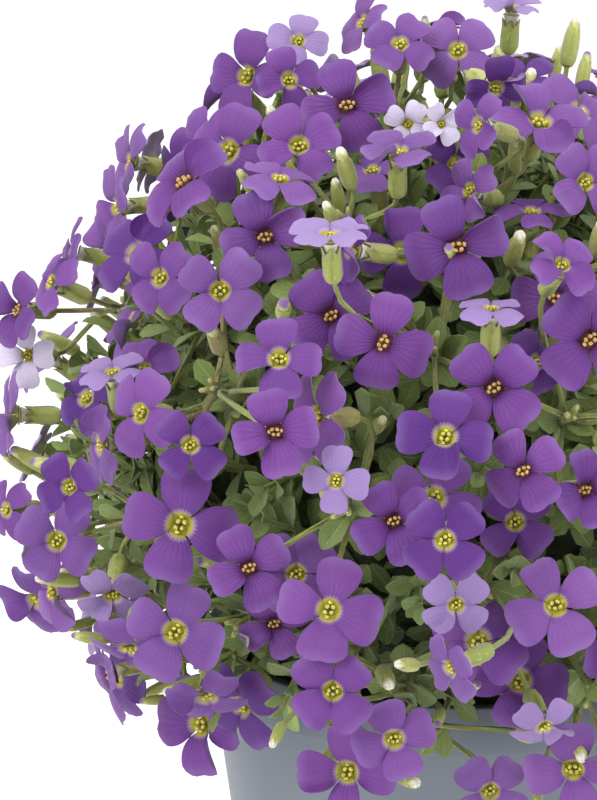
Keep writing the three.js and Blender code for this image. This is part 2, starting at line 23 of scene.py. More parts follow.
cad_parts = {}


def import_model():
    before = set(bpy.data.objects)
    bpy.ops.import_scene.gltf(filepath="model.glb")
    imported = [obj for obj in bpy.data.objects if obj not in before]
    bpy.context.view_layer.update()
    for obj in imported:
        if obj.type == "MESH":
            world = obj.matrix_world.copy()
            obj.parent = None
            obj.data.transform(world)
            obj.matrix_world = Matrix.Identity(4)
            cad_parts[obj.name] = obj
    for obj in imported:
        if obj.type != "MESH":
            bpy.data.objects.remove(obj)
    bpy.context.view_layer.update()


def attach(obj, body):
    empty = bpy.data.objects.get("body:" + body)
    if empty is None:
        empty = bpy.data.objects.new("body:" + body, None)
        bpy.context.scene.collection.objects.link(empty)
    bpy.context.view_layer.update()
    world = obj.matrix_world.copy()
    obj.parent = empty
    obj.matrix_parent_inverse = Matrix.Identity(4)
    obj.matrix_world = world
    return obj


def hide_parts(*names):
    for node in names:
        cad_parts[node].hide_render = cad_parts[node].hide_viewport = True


log = logging.getLogger("aubrieta")

MM = 0.001
GOLDEN_ANGLE = math.pi * (3 - math.sqrt(5))
UP = np.array((0.0, 0.0, 1.0))
RIGHT = np.array((1.0, 0.0, 0.0))
TINY = 1e-9

# Pot and compost
POT_HEIGHT = 92.0
RIM_RADIUS = 52.5
BAND_HEIGHT = 10.0
BAND_STEP = 1.3
WALL = 1.3
BASE_RADIUS = 40.0
FLOOR_THICKNESS = 1.8
SOIL_TOP = 84.0
SEAT_GAP = 0.3
MOUND_HEIGHT = POT_HEIGHT + 30

# Sprays, blooms and buds
SPRAYS = 56
LOWEST_BLOOM = -0.52
LOWEST_FOOT = -0.28
STALK_ROOT = 5.0
STALK_RADIUS = 1.0
FIRST_JOINT = 6.0
JOINT_STEP = 2.0
MOST_JOINTS = 6
TUBE_LENGTH = 7.5
BUD_LENGTH = 8.0
BUD_RADIUS = 2.0
SMALLEST_FILL = 16.0
LARGEST_FILL = 21.0
FILL_LATTICE = 240
FILL_SPACING = 13.5
FILL_DEPTH = 4.0
BUD_LATTICE = 84
BUD_DEEPEST = -6.0
BUD_RISE = 8.0
YOUNG_LATTICE = 460
YOUNG_TOP = 2.0
YOUNG_DROP = 14.0
SEED = 20

# Leaves of the cushion
LEAVES = 90
LEAF_LENGTH = 19.0
LEAF_WIDTH = 7.5
LEAF_MIDDLE = 0.6
LEAF_ROOT = 4.0
LEAST_LEAN = 0.3
LEAN_SPREAD = 0.5

# How far a bloom or bud may slide along its way out, how clear it has to be, and how its pedicel branches
SEEN_SLIDES = (0, 3, -3, 6, -6, 9, -9, 12, -12, 15, -15, 18, -18)
FILL_SLIDES = (0, 3, -3, 6, -6, -9, 9, -12)
BUD_SLIDES = (0, 3, -3, 6, -6)
CLEARANCE = 3.0
TUCKED_CLEARANCE = 1.2
YOUNG_CLEARANCE = 1.5
YOUNG_MARGIN = 4.0
LEAF_CLEARANCE = 1.6
SAMPLE_STEP = 2.5
REACH = 45.0
BRANCHING = 10.0
SHARPEST_BEND = -0.25
STALK_CHOICE = 3
SIDE_ON = 60


class Look(Enum):
    """What a bloom looks like: its tone, and the colour of its eye."""

    YELLOW = "violet with a yellow eye and a pale ring"
    DARK = "violet with a dark magenta eye"
    DEEP = "deep violet"
    PALE = "lilac"
    WHITE = "nearly white, just opening"


@dataclass(frozen=True)
class SeenBloom:
    """A bloom that the reference view shows.

    x and y are the pixels of its eye, turn and lift the degrees by which it faces right of and above the
    viewer, spin the degrees of its first petal from the view's right, and width its spread in millimetres.
    """

    x: float
    y: float
    turn: float
    lift: float
    spin: float
    width: float
    look: Look


YELLOW, DARK, DEEP, PALE, WHITE = Look

SEEN = tuple(SeenBloom(*row) for row in (
    (298, 41, 0, 25, 80, 13, PALE), (247, 76, -35, 5, 75, 19, YELLOW), (289, 80, 10, 10, 20, 14, YELLOW),
    (228, 151, -25, 8, 65, 20, YELLOW), (205, 140, -45, 20, 30, 18, YELLOW),
    (180, 168, -50, -10, 10, 17, DEEP), (152, 163, -110, 20, 45, 15, PALE),
    (130, 162, -75, 10, 40, 18, YELLOW), (118, 207, -65, -5, 20, 18, YELLOW),
    (112, 247, -60, 0, 45, 17, YELLOW), (72, 252, -80, 10, 0, 15, YELLOW),
    (299, 146, 0, 15, 30, 17, YELLOW), (280, 178, 20, 60, 45, 16, YELLOW), (265, 237, -10, 0, 20, 18, DARK),
    (160, 278, -30, 0, 45, 16, YELLOW), (400, 44, 0, 30, 60, 15, YELLOW), (458, 50, 0, 15, 45, 17, YELLOW),
    (362, 22, -60, 30, 10, 15, YELLOW), (347, 105, 0, 5, 20, 19, DARK), (408, 124, 0, 0, 60, 10, WHITE),
    (441, 124, 20, 0, 30, 9, WHITE), (512, 8, 10, 70, 45, 13, PALE), (495, 88, 30, -20, 0, 14, DEEP),
    (526, 80, 0, 40, 45, 13, DEEP), (540, 122, 15, 45, 20, 20, YELLOW), (580, 112, 30, 30, 45, 19, YELLOW),
    (479, 125, -50, 10, 45, 14, YELLOW), (398, 152, 0, 60, 30, 16, YELLOW),
    (372, 170, -20, 50, 0, 14, YELLOW), (455, 165, 20, 10, 45, 15, DEEP),
    (470, 190, -40, 10, 20, 13, YELLOW), (457, 247, 0, -5, 20, 21, DARK), (402, 253, -5, 0, 5, 19, DEEP),
    (330, 235, -10, 65, 45, 16, PALE), (352, 250, -60, 5, 45, 15, YELLOW),
    (531, 211, 0, 65, 10, 15, YELLOW), (562, 265, 20, 30, 45, 14, YELLOW),
    (585, 182, 30, 10, 45, 16, YELLOW), (556, 299, -5, 0, 0, 19, DARK), (590, 340, 10, 0, 50, 20, DARK),
    (331, 316, 0, 0, 40, 18, DARK), (383, 343, -5, 0, 75, 19, DARK), (494, 388, 0, 0, 45, 19, DARK),
    (491, 308, 0, 65, 45, 13, PALE), (445, 437, 0, 25, 80, 19, DEEP), (434, 498, 0, 0, 65, 18.5, YELLOW),
    (336, 481, -10, 0, 85, 13, PALE), (394, 521, -5, 0, 30, 16.5, DARK), (523, 471, -15, 0, 35, 17, DARK),
    (515, 522, 0, 10, 50, 16, YELLOW), (537, 362, 40, 0, 20, 13, DEEP), (585, 490, 20, 0, 20, 16, DARK),
    (316, 417, -55, 0, 45, 19, YELLOW), (220, 291, 0, 0, 50, 18, YELLOW), (279, 359, -5, 20, 0, 17, YELLOW),
    (275, 432, 0, 0, 10, 17, DARK), (180, 525, 0, 0, 78, 22, YELLOW), (17, 310, -50, 0, 60, 17, DARK),
    (50, 282, -60, 20, 30, 15, YELLOW), (28, 355, -30, 0, 0, 14, WHITE), (14, 415, -80, 0, 45, 19, YELLOW),
    (86, 398, -40, 20, 20, 15, DEEP), (112, 372, -20, 60, 45, 14, PALE),
    (143, 370, -20, 30, 10, 15, YELLOW), (140, 413, -35, 0, 60, 18, YELLOW),
    (100, 445, -70, -5, 45, 18, YELLOW), (190, 445, 0, 10, 45, 15, DEEP), (70, 487, -30, 0, 30, 14, DEEP),
    (5, 510, -50, 0, 45, 14, YELLOW), (57, 541, -10, 0, 60, 17, YELLOW),
    (38, 600, -40, -40, 10, 19, YELLOW), (113, 595, -10, -50, 45, 15, PALE),
    (175, 632, -5, -5, 65, 20, YELLOW), (130, 650, -20, -60, 30, 18, YELLOW),
    (207, 697, -10, -60, 60, 17, YELLOW), (249, 568, 5, 5, 30, 17, DARK), (296, 574, 0, 0, 45, 17, YELLOW),
    (329, 610, 0, 0, 80, 20, YELLOW), (274, 624, -5, -5, 30, 15, DARK), (333, 691, 0, -5, 42, 17.5, YELLOW),
    (394, 739, 0, -10, 20, 16.5, YELLOW), (456, 605, 10, -20, 45, 14, PALE),
    (556, 605, 0, 0, 27, 19.5, YELLOW), (478, 641, -5, 25, 50, 19.5, YELLOW),
    (520, 681, 0, 5, 80, 19, YELLOW), (545, 728, 20, -40, 45, 14, PALE), (490, 791, 0, -15, 45, 16, YELLOW),
    (445, 540, 0, -10, 45, 17, DEEP), (450, 668, -60, -20, 20, 14, YELLOW),
))


def unit(vector: ndarray) -> ndarray:
    """The vector at length one."""
    return vector / np.linalg.norm(vector)


def lattice_direction(index: int, count: int) -> ndarray:
    """Direction number index of count that are spread evenly over a sphere, from the top down.

    Args:
        index: its number, from 0 at the top.
        count: how many the sphere has.

    Returns:
        The unit direction.
    """
    z = 1 - 2 * (index + 0.5) / count
    flat = math.sqrt(1 - z * z)
    angle = index * GOLDEN_ANGLE
    return np.array((flat * math.cos(angle), flat * math.sin(angle), z))


def cross_axes(direction: ndarray, along: ndarray) -> tuple[ndarray, ndarray]:
    """Two unit vectors at right angles to a direction, the first as near to along as it can be."""
    first = unit(along - direction * (along @ direction))
    return first, np.cross(direction, first)


def away_from(direction: ndarray) -> ndarray:
    """A vector that isn't near a direction, to take cross_axes from."""
    return UP if abs(direction[2]) < 0.9 else np.array((0.0, 1.0, 0.0))


def around(axes: tuple[ndarray, ndarray], angle: float) -> ndarray:
    """The direction at an angle round another, from its cross_axes."""
    return axes[0] * math.cos(angle) + axes[1] * math.sin(angle)


class Draws:
    """A seeded stream of numbers from 0 to 1."""

    def __init__(self, seed: int) -> None:
        """Starts the stream at a seed."""
        self.state = seed

    def next(self) -> float:
        """The next number."""
        self.state = self.state * 16807 % 2147483647
        return self.state / 2147483647

    def between(self, low: float, high: float) -> float:
        """The next number, spread from low to high."""
        return low + (high - low) * self.next()


@dataclass(frozen=True)
class Sway:
    """How far the heads of one kind may turn from straight out: sideways and up, and the least of it up."""

    side: float
    rise: float
    least: float = 0.0

    def facing(self, out: ndarray, turn: float, lift: float) -> ndarray:
        """The way that a head faces.

        Args:
            out: the direction from the mound's centre.
            turn: the head's draw from 0 to 1 for sideways.
            lift: its draw for up.

        Returns:
            The unit direction.
        """
        sideways = np.array((-out[1], out[0], 0.0))
        return unit(out + sideways * (self.side * (turn - 0.5)) + UP * (self.rise * lift + self.least))


FILL_SWAY = Sway(0.9, 0.7, -0.1)
BUD_SWAY = Sway(1.0, 0.6)
YOUNG_SWAY = Sway(1.2, 0.8, -0.1)


@dataclass(frozen=True)
class Dip:
    """A dip in the mound: the share of the radius that it takes, its spread in degrees and where it lies."""

    depth: float
    spread: float
    towards: tuple[float, float, float]

    def share(self, out: ndarray) -> float:
        """The share of the radius that the dip takes in a direction."""
        away = math.degrees(math.acos(min(1.0, out @ unit(np.array(self.towards)))))
        return self.depth * math.exp(-((away / self.spread) ** 2))


@dataclass(frozen=True)
class Mound:
    """The egg shape that the bloom centres lie on, with the smaller cushion of shoots inside it."""

    height: float = MOUND_HEIGHT
    radius: float = 94.0
    lower: float = 62.0
    dips: tuple[Dip, ...] = (
        Dip(0.13, 25.0, (0.45, -0.05, 0.9)),
        Dip(0.1, 20.0, (-0.8, 0.0, 0.6)),
        Dip(0.12, 18.0, (-0.8, -0.1, -0.6)),
    )
    cushion_share: float = 0.68

    @property
    def centre(self) -> ndarray:
        """The mound's centre."""
        return np.array((0.0, 0.0, self.height))

    def dip(self, out: ndarray) -> float:
        """How much of its full radius the mound has in a direction: less where it dips."""
        return 1 - sum(dip.share(out) for dip in self.dips)

    def reach(self, out: ndarray) -> float:
        """The mound's radius from its centre in a direction.

        Args:
            out: the unit direction.

        Returns:
            The radius in millimetres.
        """
        upright = self.radius if out[2] > 0 else self.lower
        flat = math.hypot(out[0], out[1]) / self.radius
        return self.dip(out) / math.hypot(flat, out[2] / upright)

    def over_cushion(self, foot: ndarray, height: float) -> ndarray:
        """A point on a foot's line, at a height over the cushion."""
        return self.centre + foot * (self.cushion_share * self.reach(foot) + height)

    def cover(self, point: ndarray) -> float:
        """How far a point lies under the blooms, along its own line from the centre."""
        out = point - self.centre
        return self.reach(unit(out)) - float(np.linalg.norm(out))


@dataclass(frozen=True)
class ReferenceView:
    """The long lens that shows the plant from the front, and where it sees the middle of the pot's rim."""

    elevation: float = 15.0
    distance: float = 900.0
    pixels_per_mm: float = 4.85
    width: int = 597
    height: int = 800
    rim_x: float = 460.0
    rim_y: float = 625.0
    search: float = 1.3
    closeness: float = 0.01

    @property
    def forward(self) -> ndarray:
        """The way the view looks."""
        slope = math.radians(self.elevation)
        return np.array((0.0, math.cos(slope), -math.sin(slope)))

    @property
    def up(self) -> ndarray:
        """The view's up."""
        slope = math.radians(self.elevation)
        return np.array((0.0, math.sin(slope), math.cos(slope)))

    @property
    def eye(self) -> ndarray:
        """The point that the view is seen from."""
        across = (self.width / 2 - self.rim_x) / self.pixels_per_mm
        above = (self.rim_y - self.height / 2) / self.pixels_per_mm
        rim = UP * POT_HEIGHT
        return rim + RIGHT * across + self.up * above - self.forward * self.distance

    def ray(self, x: float, y: float) -> ndarray:
        """The direction in which the view sees a pixel."""
        ahead = self.forward * (self.distance * self.pixels_per_mm)
        return unit(ahead + RIGHT * (x - self.width / 2) + self.up * (self.height / 2 - y))

    def meet(self, mound: Mound, ray: ndarray) -> ndarray:
        """Where a ray first meets the mound, or its nearest point to the mound's centre.

        Args:
            mound: the mound.
            ray: the ray's unit direction from the eye.

        Returns:
            The point in millimetres.
        """
        far = (mound.centre - self.eye) @ ray
        near = far - self.search * mound.radius

        def inside(distance: float) -> bool:
            """Whether the ray's point at a distance is inside the mound."""
            out = self.eye + ray * distance - mound.centre
            return np.linalg.norm(out) < mound.reach(unit(out))

        while inside(far) and far - near > self.closeness:
            middle = (near + far) / 2
            if inside(middle):
                far = middle
            else:
                near = middle
        return self.eye + ray * far


@dataclass
class Head:
    """A bloom or a bud: its place, the way it faces and how it slides out. A bud has no petal direction."""

    point: ndarray
    facing: ndarray
    petal: ndarray | None
    radius: float
    way: ndarray
    slides: tuple[int, ...]
    look: Look | None = None
    seen: bool = False
    joint: ndarray | None = None
    points: ndarray | None = None
    loose: ndarray | None = None

    def pedicel_top(self) -> ndarray:
        """Where the head joins its pedicel."""
        return self.point - self.facing * (BUD_LENGTH / 2 if self.petal is None else TUBE_LENGTH)

    def bend(self) -> float:
        """The cosine of the angle at which the pedicel bends to carry the head."""
        return float(unit(self.pedicel_top() - self.joint) @ self.facing)

    def sampled(self) -> ndarray:
        """Points over the head's face, down its tube and along its pedicel, to test what is clear of it.

        Returns:
            One point a row.
        """
        axes = cross_axes(self.facing, away_from(self.facing) if self.petal is None else self.petal)
        points = []
        ring = 0
        while (ring - 1) * SAMPLE_STEP < self.radius:
            radius = min(self.radius, ring * SAMPLE_STEP)
            count = max(1, 6 * ring)
            points += [self.point + around(axes, math.tau * i / count) * radius for i in range(count)]
            ring += 1
        top = self.pedicel_top()
        points += [self.point + (top - self.point) * (i / 3) for i in (1, 2, 3)]
        steps = math.ceil(np.linalg.norm(top - self.joint) / SAMPLE_STEP)
        points += [top + (self.joint - top) * (i / steps) for i in range(1, steps + 1)]
        return np.array(points)

    def settled(self, point: ndarray, joint: ndarray) -> "Head":
        """A copy of the head at a point, on a pedicel from a joint, with its sample points worked out.

        Args:
            point: the middle of its face.
            joint: where its pedicel leaves the stalk.

        Returns:
            The copy.
        """
        head = replace(self, point=point, joint=joint)
        head.points = head.sampled()
        head.loose = head.points[np.linalg.norm(head.points - joint, axis=1) > BRANCHING]
        return head


@dataclass
class Spray:
    """A stalk's direction from the mound's centre, points along it, its heads, and its small young buds."""

    foot: ndarray
    stalk: ndarray
    heads: list[Head] = field(default_factory=list)
    young: list[Head] = field(default_factory=list)

    def is_beside(self, points: ndarray) -> bool:
        """Whether points lie in the box round the stalk and the heads, or a few millimetres from it.

        Args:
            points: one point a row.

        Returns:
            True where all of them do.
        """
        own = np.concatenate([self.stalk, *(head.points for head in self.heads)])
        low, high = own.min(axis=0) - YOUNG_MARGIN, own.max(axis=0) + YOUNG_MARGIN
        return bool((points > low).all() and (points < high).all())


def is_clear(points: ndarray, others: ndarray, clearance: float = CLEARANCE) -> bool:
    """Whether every point of one list is clear of every point of another.

    Args:
        points: one list, a point a row.
        others: the other list.
        clearance: the least distance.

    Returns:
        True where they are.
    """
    if len(points) == 0 or len(others) == 0:
        return True
    apart = points[:, None, :] - others[None, :, :]
    return bool((np.einsum("ijk,ijk->ij", apart, apart) > clearance * clearance).all())


@dataclass
class LeafPlace:
    """One large leaf of the cushion: its root, its direction and the side that it shows."""

    root: ndarray
    along: ndarray
    flat: ndarray


class Planting:
    """Where every bloom, bud and large leaf stands, by the same rule as the part's own solids."""

    def __init__(self, mound: Mound, view: ReferenceView) -> None:
        """Settles the whole plant.

        Args:
            mound: the shape that the blooms lie on.
            view: the view whose blooms were read off.
        """
        self.mound = mound
        self.view = view
        seen = sorted(self._seen(), key=lambda head: -head.radius)
        blooms = seen + self._fill(seen)
        self.sprays = [Spray(foot, self._stalk_points(foot)) for foot in self._feet(blooms)]
        left_out = self._settle(blooms + self._buds())
        self.sprays = [spray for spray in self.sprays if spray.heads]
        self.leaves = self._leaf_places()
        self.tucked = self._tuck([head for head in left_out if head.seen])
        self._add_young_buds()
        heads = self.tucked + [head for spray in self.sprays for head in spray.heads + spray.young]
        self.crowd = np.concatenate([head.points for head in heads])

    def _seen(self) -> list[Head]:
        """The blooms that the reference view shows, each where its ray meets the mound.

        Returns:
            The heads, unsettled.
        """
        heads = []
        for bloom in SEEN:
            ray = self.view.ray(bloom.x, bloom.y)
            turn = math.radians(bloom.turn)
            lift = math.radians(bloom.lift)
            facing = (
                self.view.forward * (-math.cos(turn) * math.cos(lift))
                + RIGHT * (math.sin(turn) * math.cos(lift))
                + self.view.up * math.sin(lift)
            )
            axes = cross_axes(facing, RIGHT if abs(bloom.turn) < SIDE_ON else self.view.up)
            petal = around(axes, math.radians(bloom.spin))
            point = self.view.meet(self.mound, ray)
            radius = bloom.width / 2
            heads.append(Head(point, facing, petal, radius, -ray, SEEN_SLIDES, bloom.look, seen=True))
        return heads

    def _fill(self, seen: list[Head]) -> list[Head]:
        """The blooms that fill the rest of the mound, spread evenly and turned a little at random.

        Args:
            seen: the blooms that the view shows.

        Returns:
            The heads, unsettled.
        """
        draws = Draws(SEED)
        looks = Draws(SEED + 7)
        heads = []
        for i in range(FILL_LATTICE):
            out = lattice_direction(i, FILL_LATTICE)
            lift, turn, spin, size, depth = (draws.next() for _ in range(5))
            point = self.mound.centre + out * (self.mound.reach(out) - FILL_DEPTH * depth)
            crowded = any(np.linalg.norm(head.point - point) < FILL_SPACING for head in seen)
            if out[2] < LOWEST_BLOOM or crowded:
                continue
            facing = FILL_SWAY.facing(out, turn, lift)
            petal = around(cross_axes(facing, away_from(facing)), math.pi * spin)
            radius = (SMALLEST_FILL + (LARGEST_FILL - SMALLEST_FILL) * size) / 2
            heads.append(Head(point, facing, petal, radius, out, FILL_SLIDES, self._look(looks.next())))
        return heads

    @staticmethod
    def _look(chance: float) -> Look:
        """The look of a bloom that the view doesn't show, in the shares that it shows elsewhere."""
        shares = ((0.2, Look.DARK), (0.34, Look.DEEP), (0.47, Look.PALE), (0.49, Look.WHITE))
        return next((look for share, look in shares if chance < share), Look.YELLOW)

    def _buds(self) -> list[Head]:
        """The buds between the blooms.

        Returns:
            The heads, unsettled.
        """
        draws = Draws(SEED + 1)
        heads = []
        for i in range(BUD_LATTICE):
            out = lattice_direction(i, BUD_LATTICE)
            turn, lift, depth = (draws.next() for _ in range(3))
            if out[2] < LOWEST_BLOOM:
                continue
            point = self.mound.centre + out * (self.mound.reach(out) + BUD_DEEPEST + BUD_RISE * depth)
            facing = BUD_SWAY.facing(out, turn, lift)
            heads.append(Head(point, facing, None, BUD_RADIUS, out, BUD_SLIDES))
        return heads

    def _feet(self, blooms: list[Head]) -> list[ndarray]:
        """Directions of the stalks' feet. Each moves twice to the middle of its own blooms.

        Args:
            blooms: every bloom.

        Returns:
            A unit direction for each stalk.
        """
        share = (1 - LOWEST_BLOOM) / 2
        feet = [lattice_direction(i, SPRAYS / share) for i in range(SPRAYS)]
        outs = [unit(bloom.point - self.mound.centre) for bloom in blooms]
        for _ in range(2):
            sums = [np.zeros(3) for _ in feet]
            for out in outs:
                sums[int(np.argmax([foot @ out for foot in feet]))] += out
            feet = [unit(total) for total in sums if np.linalg.norm(total) > 0]
        return [unit(np.array((x, y, max(z, LOWEST_FOOT)))) for x, y, z in feet]

    def _stalk_points(self, foot: ndarray) -> ndarray:
        """Points along a stalk.

        Args:
            foot: the stalk's direction.

        Returns:
            One point a row, from the cushion up.
        """
        top = FIRST_JOINT + JOINT_STEP * MOST_JOINTS
        heights = np.arange(0, top + TINY, SAMPLE_STEP)
        return np.array([self.mound.over_cushion(foot, height) for height in heights])

    def _is_free(self, head: Head, home: Spray, clearance: float) -> bool:
        """Whether a head on a spray is clear of every head and stalk that is already there.

        Args:
            head: the head on trial.
            home: its spray.
            clearance: the least distance.

        Returns:
            True where it is, and its pedicel bends gently enough.
        """
        for spray in self.sprays:
            own = spray is home
            if not own and not is_clear(head.points, spray.stalk, clearance):
                return False
            for other in spray.heads:
                if np.linalg.norm(other.point - head.point) >= REACH:
                    continue
                pair = (head.loose, other.loose) if own else (head.points, other.points)
                if not is_clear(*pair, clearance):
                    return False
        return head.bend() > SHARPEST_BEND

    def _nearest(self, out: ndarray) -> list[Spray]:
        """The sprays, the nearest to a direction first."""
        return sorted(self.sprays, key=lambda spray: -(spray.foot @ out))

    def _settle(self, heads: list[Head]) -> list[Head]:
        """Gives each head a clear place on one of the nearest stalks, and returns those that find none.

        Args:
            heads: blooms and buds, in the order in which they choose.

        Returns:
            The heads without a place.
        """
        left_out = []
        for head in heads:
            out = unit(head.point - self.mound.centre)
            for spray in self._nearest(out)[:STALK_CHOICE]:
                if len(spray.heads) >= MOST_JOINTS:
                    continue
                placed = self._slid(head, spray, FIRST_JOINT + JOINT_STEP * len(spray.heads), CLEARANCE)
                if placed is not None:
                    spray.heads.append(placed)
                    break
            else:
                left_out.append(head)
        return left_out

    def _slid(self, head: Head, spray: Spray, height: float, clearance: float) -> Head | None:
        """The head on a spray's stalk at the first slide that is clear, or None.

        Args:
            head: the head.
            spray: its spray.
            height: the joint's height up the stalk.
            clearance: the least distance.

        Returns:
            The settled head, or None.
        """
        joint = self.mound.over_cushion(spray.foot, height)
        for slide in head.slides:
            tried = head.settled(head.point + head.way * slide, joint)
            if self._is_free(tried, spray, clearance):
                return tried
        return None

    def _tuck(self, heads: list[Head]) -> list[Head]:
        """Tucks in the seen blooms that found no clear place: small or half hidden ones among the others.

        Args:
            heads: those blooms.

        Returns:
            The same blooms, settled.
        """
        tucked = []
        for head in heads:
            out = unit(head.point - self.mound.centre)
            spray = self._nearest(out)[0]
            placed = self._slid(head, spray, FIRST_JOINT, TUCKED_CLEARANCE)
            joint = self.mound.over_cushion(spray.foot, FIRST_JOINT)
            tucked.append(placed or head.settled(head.point, joint))
        return tucked

    def _add_young_buds(self) -> None:
        """Puts small young buds on the stalks wherever there is room between the blooms."""
        draws = Draws(SEED + 3)
        for i in range(YOUNG_LATTICE):
            out = lattice_direction(i, YOUNG_LATTICE)
            turn, lift, depth, height = (draws.next() for _ in range(4))
            if out[2] < LOWEST_BLOOM:
                continue
            spray = self._nearest(out)[0]
            facing = YOUNG_SWAY.facing(out, turn, lift)
            point = self.mound.centre + out * (self.mound.reach(out) + YOUNG_TOP - YOUNG_DROP * depth)
            joint = self.mound.over_cushion(spray.foot, FIRST_JOINT * (0.5 + height))
            bud = Head(point, facing, None, BUD_RADIUS, out, BUD_SLIDES).settled(point, joint)
            clear_of_young = all(
                is_clear(bud.loose, other.loose, YOUNG_CLEARANCE)
                for near in self.sprays for other in near.young if np.linalg.norm(other.point - point) < REACH
            )
            beside = spray.is_beside(bud.points)
            if beside and clear_of_young and self._is_free(bud, spray, YOUNG_CLEARANCE):
                spray.young.append(bud)

    def has_room(self, *points: ndarray) -> bool:
        """Whether every point is clear of all blooms, buds and their stems."""
        return is_clear(np.array(points), self.crowd, LEAF_CLEARANCE)

    def _leaf_places(self) -> list[LeafPlace]:
        """The large leaves that stand out of the cushion, clear of the sprays.

        Returns:
            Their places.
        """
        draws = Draws(SEED + 2)
        crowd = np.concatenate([
            part for spray in self.sprays for part in (spray.stalk, *(head.points for head in spray.heads))
        ])
        places = []
        for i in range(LEAVES):
            out = lattice_direction(i, LEAVES)
            turn, lean = math.tau * draws.next(), LEAST_LEAN + LEAN_SPREAD * draws.next()
            if out[2] < LOWEST_FOOT:
                continue
            root = self.mound.over_cushion(out, -LEAF_ROOT)
            flat = around(cross_axes(out, away_from(out)), turn)
            along = unit(out + np.cross(out, flat) * lean)
            lengths = np.arange(LEAF_ROOT, LEAF_LENGTH + TINY, SAMPLE_STEP)
            points = np.array([
                root + along * length + flat * (across * LEAF_WIDTH)
                for length in lengths for across in (-0.5, 0, 0.5)
            ])
            if is_clear(points, crowd):
                places.append(LeafPlace(root, along, flat))
        return places


Colour = tuple[float, float, float, float]
PlaceRule = Callable[[float, float], tuple[float, float, float]]


def colour(red: int, green: int, blue: int) -> Colour:
    """A screen colour from 0 to 255 as the linear colour that a shader takes."""

    def linear(level: int) -> float:
        """One channel, from the screen's curve to linear."""
        share = level / 255
        return share / 12.92 if share <= 0.04045 else ((share + 0.055) / 1.055) ** 2.4

    return (linear(red), linear(green), linear(blue), 1.0)


class Channel:
    """A shader socket that carries one number. Arithmetic on it adds Math nodes."""

    def __init__(self, tree: "ShaderTree", socket: NodeSocket) -> None:
        """Wraps a socket of a tree."""
        self.tree = tree
        self.socket = socket

    def __add__(self, other: "Channel | float") -> "Channel":
        """The sum."""
        return self.tree.maths("ADD", self, other)

    def __sub__(self, other: "Channel | float") -> "Channel":
        """The difference."""
        return self.tree.maths("SUBTRACT", self, other)

    def __rsub__(self, other: float) -> "Channel":
        """A number less this."""
        return self.tree.maths("SUBTRACT", other, self)

    def __mul__(self, other: "Channel | float") -> "Channel":
        """The product."""
        return self.tree.maths("MULTIPLY", self, other)

    def __truediv__(self, other: "Channel | float") -> "Channel":
        """The quotient."""
        return self.tree.maths("DIVIDE", self, other)

    def __pow__(self, power: float) -> "Channel":
        """The power."""
        return self.tree.maths("POWER", self, power)

    def __abs__(self) -> "Channel":
        """The size without the sign."""
        return self.tree.maths("ABSOLUTE", self)

    __radd__ = __add__
    __rmul__ = __mul__

    def wave(self) -> "Channel":
        """The sine."""
        return self.tree.maths("SINE", self)

    def step(self, low: float, high: float) -> "Channel":
        """Runs smoothly from 0 at low to 1 at high. High may lie under low.

        Args:
            low: the value that gives 0.
            high: the value that gives 1.

        Returns:
            The new channel.
        """
        settings = {"interpolation_type": "SMOOTHSTEP"}
        ends = (low, high, 0.0, 1.0) if low < high else (high, low, 1.0, 0.0)
        sockets = dict(zip(("From Min", "From Max", "To Min", "To Max"), ends))
        node = self.tree.node("ShaderNodeMapRange", settings, {"Value": self, **sockets})
        return Channel(self.tree, node.outputs["Result"])


